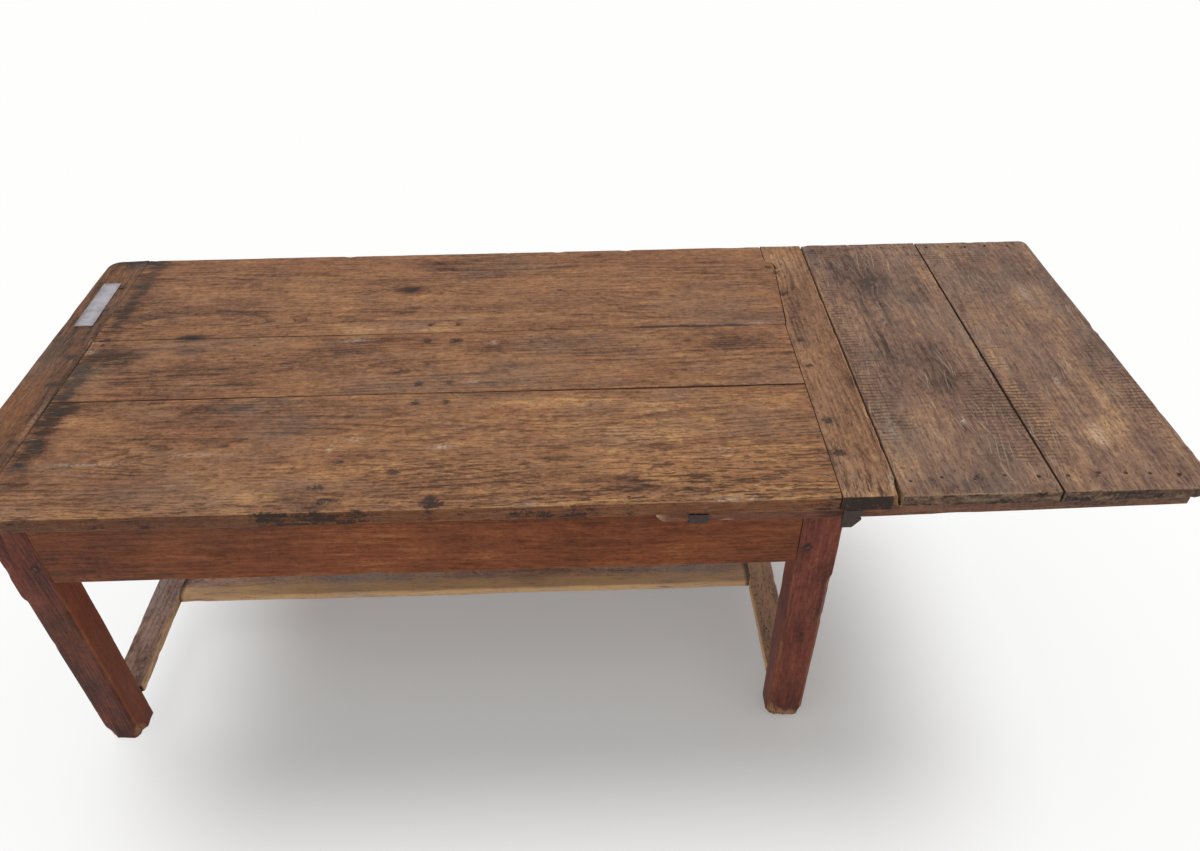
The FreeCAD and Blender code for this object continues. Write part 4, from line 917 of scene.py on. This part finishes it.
def paintLeaf(points, facing, coat):
    under = smooth(-facing[:, 2], 0.3, 0.9)
    upward = smooth(facing[:, 2], 0.1, 0.5)
    edge = np.maximum(smooth(np.abs(facing[:, 1]), 0.6, 0.95),
                      smooth(facing[:, 0], 0.6, 0.95)) * (1 - under)
    # painted shade on the underside; the edges darker
    coat["tone"] += spots(points, leafTimber["tone"]) * upward - 0.7 * edge - 0.9 * under
    ragged = np.clip(0.28 + 0.7 * lumps(points, (0.022, 0.02, 0.007), 91), 0, 0.65)
    gold = smooth(lumps(points, (0.025, 0.02, 0.006), 92), 0.25, 0.6) * edge
    arris = smooth(-facing[:, 1], 0.25, 0.5) * smooth(facing[:, 2], 0.25, 0.5)
    arris = arris * (0.6 + 0.5 * lumps(points, (0.05, 0.04, 0.02), 96))
    coat["wear"] = np.clip(np.maximum(coat["wear"], np.maximum(0.6 * gold, arris)), 0, 1)
    coat["scuff"] = np.clip(spots(points, leafTimber["scuff"]), 0, 1) * upward
    coat["stain"] = np.clip(spots(points, leafTimber["stain"]) * upward + ragged * edge, 0, 1)
    coat["sawn"] = np.clip(spots(points, leafTimber["sawn"]), 0, 1) * upward
    # painted shade on the underside
    coat["grime"] = np.maximum(coat["grime"], 0.35 * under)


innerLow, innerHigh = cadBoxOf("leaf_board_inner")
outerLow, outerHigh = cadBoxOf("leaf_board_outer")


def roundLeafEnd(points):
    points = roundCorner(points, (outerHigh[0], outerLow[1], 1, -1), leafTimber["frontCorner"])
    return roundCorner(points, (outerHigh[0], outerHigh[1], 1, 1), leafTimber["rearCorner"])


armTimber = {"step": (0.008, 0.005, 0.004), "rim": 0.003, "edge": 0.0026, "edgeVary": 0.35, "nicks": 14,
             "nickSize": (0.003, 0.007), "dents": 8, "wave": 0.0002, "ripple": 0.0001, "wearEdge": 0.8,
             "tip": 0.14675, "tongueEnd": 0.51375, "slack": 0.0003, "outerFace": 0.465,
             "tongueBack": 0.4403, "tongueTop": 0.7152, "keeperShade": (0.47, 0.02),
             # underside heights: place along x, height
             "belly": ((0.14675, 0.7092), (0.16075, 0.6952), (0.50975, 0.6927), (1.13725, 0.704))}


def buildArm(node, side, seed):
    low, high = cadBoxOf(node)
    belly = np.array(armTimber["belly"])
    step = innerLow[0]   # the arm steps up to the leaf's underside here
    outer, tongueIn = armTimber["outerFace"] * side, armTimber["tongueBack"] * side
    inner = low[1] if side > 0 else high[1]

    def limits(points, lowAt, highAt):
        x = points[:, 0]
        share = (points - low) / (high - low)
        inside = np.where(x < armTimber["tongueEnd"] + 0.0005, tongueIn, inner)
        bottom = np.interp(x, belly[:, 0], belly[:, 1]) + armTimber["slack"]
        top = np.where(x < step + 0.0005, armTimber["tongueTop"], innerLow[2]) - armTimber["slack"]
        lowAt, highAt = lowAt.copy(), highAt.copy()
        lowAt[:, 1], highAt[:, 1] = np.minimum(inside, outer), np.maximum(inside, outer)
        lowAt[:, 2], highAt[:, 2] = bottom, top
        points = points.copy()
        points[:, 1:] = (lowAt + share * (highAt - lowAt))[:, 1:]
        return points, lowAt, highAt

    def paint(points, facing, coat):
        tip = 1 - smooth(points[:, 0], armTimber["tip"], armTimber["tip"] + 0.03)
        shadeAt, shadeReach = armTimber["keeperShade"]
        coat["tone"] -= 0.8 * np.exp(-((points[:, 0] - shadeAt) / shadeReach) ** 2)
        coat["wear"] = np.clip(coat["wear"] + 0.75 * tip, 0, 1)
        coat["scuff"] = 0.1 * smooth(points[:, 0], step, step + 0.02)   # drier and browner under the leaf

    breaks = [armTimber["tongueEnd"], armTimber["tongueEnd"] + 0.001, step, step + 0.001,
              armTimber["tip"] + 0.014]
    fine = (tuple((b, b + 0.0005, 0.001) for b in breaks), (), ())
    look = {**armTimber, "seed": seed, "board": float(seed), "fine": fine}
    wornTimber(node.replace("_", "."), low, high, look, armOak, "leaf", (node,),
               limits=limits, paint=paint)


def buildLeaf():
    wornTimber("leaf.inner", innerLow, innerHigh, leafTimber["inner"], leafOak, "leaf",
               ("leaf_board_inner",), paint=paintLeaf)
    wornTimber("leaf.outer", outerLow, outerHigh, leafTimber["outer"], leafOak, "leaf",
               ("leaf_board_outer",), warp=roundLeafEnd, paint=paintLeaf)
    buildArm("leaf_arm_front", -1, 81)
    buildArm("leaf_arm_rear", 1, 82)


buildLeaf()
print("leaf boards and arms done")


# pegs and nails, spread by geometry nodes

# a tree with named inputs; the shapes come from the function that fills it
def spreadTree(name, inputs, shape):
    tree = bpy.data.node_groups.new(name, "GeometryNodeTree")
    tree.interface.new_socket("Geometry", in_out="INPUT", socket_type="NodeSocketGeometry")
    for label, kind in inputs:
        tree.interface.new_socket(label, in_out="INPUT", socket_type="NodeSocket" + kind)
    tree.interface.new_socket("Geometry", in_out="OUTPUT", socket_type="NodeSocketGeometry")
    add = partial(addNode, tree)
    start = add("NodeGroupInput").outputs
    single = shape(add, start)
    swell = add("FunctionNodeRandomValue", data_type="FLOAT", out=1, sockets={
        2: 0.9, 3: 1.06, "Seed": start["Seed"]})
    spread = add("GeometryNodeInstanceOnPoints", out=0, sockets={
        "Points": start["Geometry"], "Instance": single, "Rotation": start["Turn"], "Scale": swell})
    spin = add("FunctionNodeRandomValue", data_type="FLOAT_VECTOR", out=0, sockets={
        0: (-0.03, -0.03, 0), 1: (0.03, 0.03, 6.28), "Seed": start["Seed"]})
    spun = add("GeometryNodeRotateInstances", out=0, sockets={
        "Instances": spread, "Rotation": spin, "Local Space": True})
    real = add("GeometryNodeRealizeInstances", out=0, sockets={"Geometry": spun})
    painted = add("GeometryNodeSetMaterial", out=0, sockets={
        "Geometry": real, "Material": start["Material"]})
    add("NodeGroupOutput", sockets={"Geometry": painted})
    return tree


# riven peg: eight flats, both ends eased by a low cone
def pegShape(add, start):
    ends = [add("GeometryNodeMeshCylinder", fill_type="NGON", out="Mesh", sockets={
        "Vertices": start["Sides"], "Radius": start["Radius"], "Depth": start["Length"]})]
    half = add("math:MULTIPLY", start["Length"], 0.5)
    narrow = add("math:MULTIPLY", start["Radius"], 0.72)
    for sign in (1, -1):
        cone = add("GeometryNodeMeshCone", fill_type="NGON", out="Mesh", sockets={
            "Vertices": start["Sides"], "Radius Top": narrow, "Radius Bottom": start["Radius"],
            "Depth": start["Proud"]})
        at = add("ShaderNodeCombineXYZ", out=0, sockets={"Z": add("math:MULTIPLY", half, float(sign))})
        ends.append(add("GeometryNodeTransform", out=0, sockets={
            "Geometry": cone, "Translation": at, "Rotation": (0, 0 if sign > 0 else math.pi, 0)}))
    joined = add("GeometryNodeJoinGeometry")
    for end in ends:
        joined.id_data.links.new(end, joined.inputs[0])
    return joined.outputs[0]


# hand-made nail: five-sided faceted head on a tapering shank that hangs below the point
def nailShape(add, start):
    wide, point, neck = (add("math:MULTIPLY", start["Radius"], share) for share in (0.4, 0.1, 0.42))
    head = add("GeometryNodeMeshCone", fill_type="NGON", out="Mesh", sockets={
        "Vertices": start["Sides"], "Radius Top": wide, "Radius Bottom": start["Radius"],
        "Depth": start["Proud"]})
    shank = add("GeometryNodeMeshCone", fill_type="NGON", out="Mesh", sockets={
        "Vertices": 4, "Radius Top": point, "Radius Bottom": neck, "Depth": start["Length"]})
    hung = add("GeometryNodeTransform", out=0, sockets={"Geometry": shank, "Rotation": (math.pi, 0, 0)})
    joined = add("GeometryNodeJoinGeometry")
    for part in (head, hung):
        joined.id_data.links.new(part, joined.inputs[0])
    return joined.outputs[0]


spreadInputs = (("Radius", "Float"), ("Length", "Float"), ("Proud", "Float"), ("Sides", "Int"),
                ("Turn", "Rotation"), ("Seed", "Int"), ("Material", "Material"))
pegTree = spreadTree("pegs", spreadInputs, pegShape)
nailTree = spreadTree("nails", spreadInputs, nailShape)


# places in metres in, plain mesh out
def spreadMesh(tree, places, settings):
    seeds = bpy.data.meshes.new("seeds")
    seeds.from_pydata([tuple(p) for p in places], [], [])
    holder = bpy.data.objects.new("seeds", seeds)
    bpy.context.scene.collection.objects.link(holder)
    modifier = holder.modifiers.new("spread", "NODES")
    modifier.node_group = tree
    for item in tree.interface.items_tree:
        if item.in_out == "INPUT" and item.name in settings:
            modifier[item.identifier] = settings[item.name]
    graph = bpy.context.evaluated_depsgraph_get()
    mesh = bpy.data.meshes.new_from_object(holder.evaluated_get(graph))
    holder.modifiers.clear()
    bpy.data.objects.remove(holder)
    bpy.data.meshes.remove(seeds)
    return mesh


def joinMeshes(name, meshes):
    points, faces = [], []
    for mesh in meshes:
        start = len(points)
        points += [tuple(v.co) for v in mesh.vertices]
        faces += [[start + i for i in polygon.vertices] for polygon in mesh.polygons]
        bpy.data.meshes.remove(mesh)
    joined = bpy.data.meshes.new(name)
    joined.from_pydata(points, [], faces)
    joined.update()
    return joined


# a peg's axis from z to x, y, z
turns = ((0.0, math.pi / 2, 0.0), (-math.pi / 2, 0.0, 0.0), (0.0, 0.0, 0.0))
pegLook = {"proud": 0.0012, "sides": 8, "shorter": 0.0006}


def buildPegs(node, seed):
    meshes = []
    groups = {}
    for low, high in solidBoxes(node):
        axis = int(np.argmax(high - low))
        size = np.round(high - low, 4)
        groups.setdefault((axis, tuple(size)), []).append((low + high) / 2)
    for number, ((axis, size), places) in enumerate(sorted(groups.items())):
        across = [size[i] for i in range(3) if i != axis]
        meshes.append(spreadMesh(pegTree, places, {
            "Radius": float(min(across)) / 2, "Length": float(size[axis]) - pegLook["shorter"],
            "Proud": pegLook["proud"], "Sides": pegLook["sides"], "Turn": turns[axis],
            "Seed": seed + number, "Material": pegOak}))
    mesh = joinMeshes(node.replace("_", "."), meshes)
    giveAttribute(mesh, "endGrain", np.ones(len(mesh.vertices)))
    finishPiece(node.replace("_", "."), mesh, pegOak, "table", (node,))


for number, node in enumerate(("apron_pegs", "stretcher_pegs", "breadboard_pegs", "tenon_pegs")):
    buildPegs(node, 101 + 7 * number)

nailLook = {"top_nails": {"radius": 0.0042, "proud": 0.0014, "sides": 6, "body": "table",
                          "strays": 0.004},
            "leaf_nails": {"radius": 0.0046, "proud": 0.0022, "sides": 5, "body": "leaf",
                           "strays": 0.005},
            "keeper_nails": {"radius": 0.0042, "proud": 0.0022, "sides": 5, "body": "table",
                             "strays": 0.0}}


nailSink = 0.0008   # the heads are bedded this far into the wood
nailShorter = 0.002   # the shanks end this far before the holes do


def buildNails(node, seed):
    look = nailLook[node]
    random = np.random.default_rng(seed)
    meshes = []
    groups = {}
    for low, high in solidBoxes(node):
        axis = int(np.argmax(high - low))
        middle = (low + high) / 2
        if axis == 2:
            turn, head = (0.0, 0.0, 0.0), np.array([middle[0], middle[1], high[2] - nailSink])
            head[:2] += random.uniform(-look["strays"], look["strays"], 2)
        else:   # a nail driven in towards the table's middle
            outward = 1 if middle[1] > 0 else -1
            turn = (-math.pi / 2 * outward, 0.0, 0.0)
            face = (high if outward > 0 else low)[1]
            head = np.array([middle[0], face - nailSink * outward, middle[2]])
        groups.setdefault((turn, round(float(high[axis] - low[axis]), 4)), []).append(head)
    for number, ((turn, length), places) in enumerate(sorted(groups.items())):
        meshes.append(spreadMesh(nailTree, places, {
            "Radius": look["radius"], "Length": length - nailShorter, "Proud": look["proud"],
            "Sides": look["sides"], "Turn": turn, "Seed": seed + number, "Material": wroughtIron}))
    mesh = joinMeshes(node.replace("_", "."), meshes)
    finishPiece(node.replace("_", "."), mesh, wroughtIron, look["body"], (node,))


for number, node in enumerate(nailLook):
    buildNails(node, 151 + 5 * number)
print("pegs and nails done")


# iron keepers, bent from strip

keeperLook = {"plate": ("keeper_front_outer", "keeper_rear_outer"), "thick": 0.0034, "bend": 0.0045,
              "hammer": 0.00022, "across": 12, "clip": 0.012, "footTop": 0.6889}


# strip that follows a bent line in the y-z plane, hammered on both faces
def buildKeeper(node, seed, clipped):
    low, high = cadBoxOf(node)
    side = 1 if low[1] > 0 else -1
    nearY, farY = (low[1], high[1]) if side > 0 else (-high[1], -low[1])
    half = keeperLook["thick"] / 2
    foot = keeperLook["footTop"] + half + 0.00005
    line = [(nearY + half, low[2]), (nearY + half, foot), (farY - half, foot),
            (farY - half, high[2] - 0.0002)]
    path = []
    for number, (y, z) in enumerate(line):   # corners turned into small arcs
        if number in (0, len(line) - 1):
            path.append((y, z))
            continue
        spot, before, after = np.array((y, z)), np.array(line[number - 1]), np.array(line[number + 1])
        first = spot + (before - spot) / np.linalg.norm(before - spot) * keeperLook["bend"]
        last = spot + (after - spot) / np.linalg.norm(after - spot) * keeperLook["bend"]
        for t in np.linspace(0, 1, 7):
            path.append(tuple((1 - t) ** 2 * first + 2 * t * (1 - t) * spot + t * t * last))
    path = np.array(path)
    dense = [path[0]]
    for a, b in zip(path[:-1], path[1:]):
        count = max(1, int(np.linalg.norm(b - a) / 0.002))
        dense += [a + (b - a) * (k + 1) / count for k in range(count)]
    path = np.array(dense)
    run = np.gradient(path, axis=0)
    run /= np.linalg.norm(run, axis=1)[:, None]
    normal = np.stack([-run[:, 1], run[:, 0]], 1)
    xs = np.linspace(low[0], high[0], keeperLook["across"] + 1)
    points, quads = shell([np.arange(len(path), dtype=float), xs, np.array([-1.0, -0.5, 0.5, 1.0])])
    index = points[:, 0].astype(int)
    share = (points[:, 1] - low[0]) / (high[0] - low[0])
    rim = np.minimum(share, 1 - share) * (high[0] - low[0])
    thick = half * np.where(rim < 0.0002, 0.7, 1.0) * points[:, 2]
    at = path[index] + normal[index] * thick[:, None]
    x = points[:, 1].copy()
    x += 0.0005 * lumps(np.stack([at[:, 0], at[:, 1], share], 1), (0.012, 0.012, 5), seed)
    if clipped:   # the lip's lower right corner is cut away
        lip = (index > len(path) * 0.62) & (share > 0.5)
        lower = np.clip(1 - (at[:, 1] - foot) / keeperLook["clip"], 0, 1)
        x -= np.where(lip, lower * keeperLook["clip"] * (share - 0.5) * 1.4, 0)
    spots3 = np.stack([x, at[:, 0] * side, at[:, 1]], 1)
    facing = np.stack([np.zeros(len(x)), normal[index][:, 0] * side, normal[index][:, 1]], 1)
    facing *= np.sign(points[:, 2:3])
    spots3 -= facing * (keeperLook["hammer"] * (0.5 + 0.5 * lumps(spots3, 0.006, seed + 1)))[:, None]
    flip = quads if side < 0 else quads[:, ::-1]
    if node in keeperLook["plate"]:   # a plate that hangs from the lip, with its lower corner cut away
        ends = (farY - 2 * half, farY) if side > 0 else (-farY, -farY + 2 * half)
        plate, plateQuads = shell([xs, np.linspace(*ends, 3),
                                   np.linspace(low[2] + 0.001, foot + 0.004, 9)])
        drop = np.clip((foot - plate[:, 2]) / (foot - low[2]), 0, 1)
        share = (plate[:, 0] - low[0]) / (high[0] - low[0])
        plate[:, 0] -= drop * share * keeperLook["clip"] * 1.3
        plate[:, 1] -= side * keeperLook["hammer"] * (0.6 + 0.6 * lumps(plate, 0.006, seed + 2))
        flip = np.concatenate([flip, plateQuads + len(spots3)])
        spots3 = np.concatenate([spots3, plate])
    mesh = bpy.data.meshes.new(node)
    mesh.from_pydata(spots3.tolist(), [], flip.tolist())
    mesh.update()
    finishPiece(node.replace("_", "."), mesh, wroughtIron, "table", (node,))


keepers = ("keeper_front_inner", "keeper_front_outer", "keeper_rear_inner", "keeper_rear_outer")
for number, node in enumerate(keepers):
    buildKeeper(node, 171 + number, node == "keeper_front_outer")
print("keepers done")


# plain paper tag on the left cleat

tagLook = {"x": (27, 70), "y": (634, 826), "thick": 0.0004, "lean": -0.004, "curl": 0.0012,
           "size": (0.042, 0.188)}


def buildTag():
    xs = leftLow[0] + np.linspace(*tagLook["x"], 15) / 1000
    ys = leftLow[1] + np.linspace(*tagLook["y"], 50) / 1000
    points, quads = shell([xs, ys, np.array([0.0, tagLook["thick"]])])
    across = (points[:, 0] - xs[0]) / (xs[-1] - xs[0])
    along = (points[:, 1] - ys[0]) / (ys[-1] - ys[0])
    ragged = 0.0006 * lumps(points, (0.02, 0.01, 1), 181) * (across - 0.5)
    points[:, 0] += tagLook["lean"] * (along - 0.5) + ragged
    width, length = tagLook["size"]
    rim = np.minimum(np.minimum(across, 1 - across) * width, np.minimum(along, 1 - along) * length)
    points[:, 2] += leftHigh[2] - 0.0001 + tagLook["curl"] * np.exp(-rim / 0.004) * (
        0.5 + 0.5 * lumps(points, (0.03, 0.03, 1), 182))
    mesh = bpy.data.meshes.new("paper.tag")
    mesh.from_pydata(points.tolist(), [], quads.tolist())
    mesh.update()
    giveAttribute(mesh, "grime", 0.6 * np.exp(-rim / 0.0025))
    finishPiece("paper.tag", mesh, paper, "table", ())


buildTag()

# CAD pieces that stay, all inside the wood
for node in ("top_tenon_front", "top_tenon_rear", "top_dowels"):
    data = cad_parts[node].data
    data.materials.clear()
    data.materials.append(pegOak)
print("tag done")


# floor, light and camera

stageLook = {"floor": "f8f7f4", "size": 30.0, "lift": 0.16, "world": 0.45, "sky": 0.8,
             # broad soft lamps: turn round z, height above the horizon, spread, strength
             "lamps": {"skylightRight": (-40.0, 60.0, 45.0, 0.95),
                       "skylightLeft": (38.0, 60.0, 45.0, 0.95), "frontFill": (165.0, 36.0, 80.0, 0.2)},
             # the floor is painted white away from the table's shadow, a painted light that also takes
             # out other shadows: middle, half size, fade (m) and how much
             "pool": ((-0.05, -0.22), (0.6, 0.28), 0.55, 0.68)}


# 1 for rays from the camera, in reflections and through glass
def seenRays(add):
    ray = add("ShaderNodeLightPath").outputs
    return add("math:MAXIMUM", ray["Is Camera Ray"], add(
        "math:MAXIMUM", ray["Is Glossy Ray"], ray["Is Transmission Ray"]))


def buildStage():
    scene = bpy.context.scene
    scene.view_settings.view_transform = "Standard"
    half = stageLook["size"] / 2
    mesh = bpy.data.meshes.new("floor")
    corners = [(-half, -half, 0), (half, -half, 0), (half, half, 0), (-half, half, 0)]
    mesh.from_pydata(corners, [], [(0, 1, 2, 3)])
    floor = bpy.data.objects.new("floor", mesh)
    scene.collection.objects.link(floor)
    material = newMaterial("pale_floor")
    add = partial(addNode, material.node_tree)
    shader = add("ShaderNodeBsdfPrincipled", out=0, sockets={
        "Base Color": linear(stageLook["floor"]), "Roughness": 0.9, "Specular IOR Level": 0.0})
    # painted light: the floor is whitened outside a box round the table, so only the shadow under it
    # stays
    middle, reach, fade, amount = stageLook["pool"]
    place = add("ShaderNodeSeparateXYZ", sockets={0: add("coordinate")}).outputs
    outside = []
    for axis in (0, 1):
        gap = add("math:ABSOLUTE", add("math:SUBTRACT", place[axis], middle[axis]))
        gap = add("math:MAXIMUM", add("math:SUBTRACT", gap, reach[axis]), 0.0)
        outside.append(add("math:POWER", gap, 2.0))
    away = add("math:SQRT", add("math:ADD", *outside))
    away = add("range:SMOOTHSTEP", away, 0.0, fade)
    lift = add("math:MULTIPLY_ADD", away, amount, stageLook["lift"])   # a little white, the shadow stays
    white = add("ShaderNodeEmission", out=0, sockets={"Color": (1, 1, 1, 1), "Strength": 1.0})
    both = add("ShaderNodeMixShader", out=0, sockets={
        0: add("math:MULTIPLY", seenRays(add), lift), 1: shader, 2: white})
    add("ShaderNodeOutputMaterial", sockets={"Surface": both})
    mesh.materials.append(material)

    world = bpy.data.worlds.new("studio")
    scene.world = world
    world.use_nodes = True
    world.node_tree.nodes.clear()
    add = partial(addNode, world.node_tree)
    toward = add("coordinate", out="Generated")
    height = add("ShaderNodeSeparateXYZ", out="Z", sockets={0: toward})
    overhead = add("range:SMOOTHSTEP", height, 0.04, 0.3)   # white at the horizon, dimmer above
    glow = add("math:MULTIPLY_ADD", overhead, stageLook["world"] - 1.0, 1.0)
    glow = add("math:MAXIMUM", glow, add("math:MULTIPLY", seenRays(add), stageLook["sky"]))
    light = add("ShaderNodeBackground", out=0, sockets={"Color": (1, 1, 1, 1), "Strength": glow})
    add("ShaderNodeOutputWorld", sockets={"Surface": light})

    for name, (turn, height, spread, strength) in stageLook["lamps"].items():
        lamp = bpy.data.lights.new(name, "SUN")
        lamp.angle = math.radians(spread)
        lamp.energy = strength
        holder = bpy.data.objects.new(name, lamp)
        holder.rotation_euler = (math.radians(height - 90), 0, math.radians(turn))
        scene.collection.objects.link(holder)


# the photograph's view: place in metres, angles in radians, focal length in pixels of a 1200-wide image
view = {"place": (0.02033, -1.65839, 1.91286), "yaw": 0.02225, "pitch": 0.68858, "roll": 0.01201,
        "focal": 919.35, "photoWidth": 1200, "sensor": 36}


def buildCamera():
    camera = bpy.data.cameras.new("camera")
    camera.sensor_fit = "HORIZONTAL"
    camera.sensor_width = view["sensor"]
    camera.lens = view["focal"] / view["photoWidth"] * view["sensor"]
    holder = bpy.data.objects.new("camera", camera)
    bpy.context.scene.collection.objects.link(holder)
    yaw, pitch, roll = view["yaw"], view["pitch"], view["roll"]
    forward = Vector((math.sin(yaw) * math.cos(pitch), math.cos(yaw) * math.cos(pitch), -math.sin(pitch)))
    level = Vector((math.cos(yaw), -math.sin(yaw), 0))
    down = forward.cross(level)
    right = math.cos(roll) * level + math.sin(roll) * down
    drop = math.cos(roll) * down - math.sin(roll) * level
    turned = Matrix((right, -drop, -forward)).transposed()
    holder.matrix_world = Matrix.Translation(view["place"]) @ turned.to_4x4()
    bpy.context.scene.camera = holder


buildStage()
buildCamera()
print("stage and camera done")
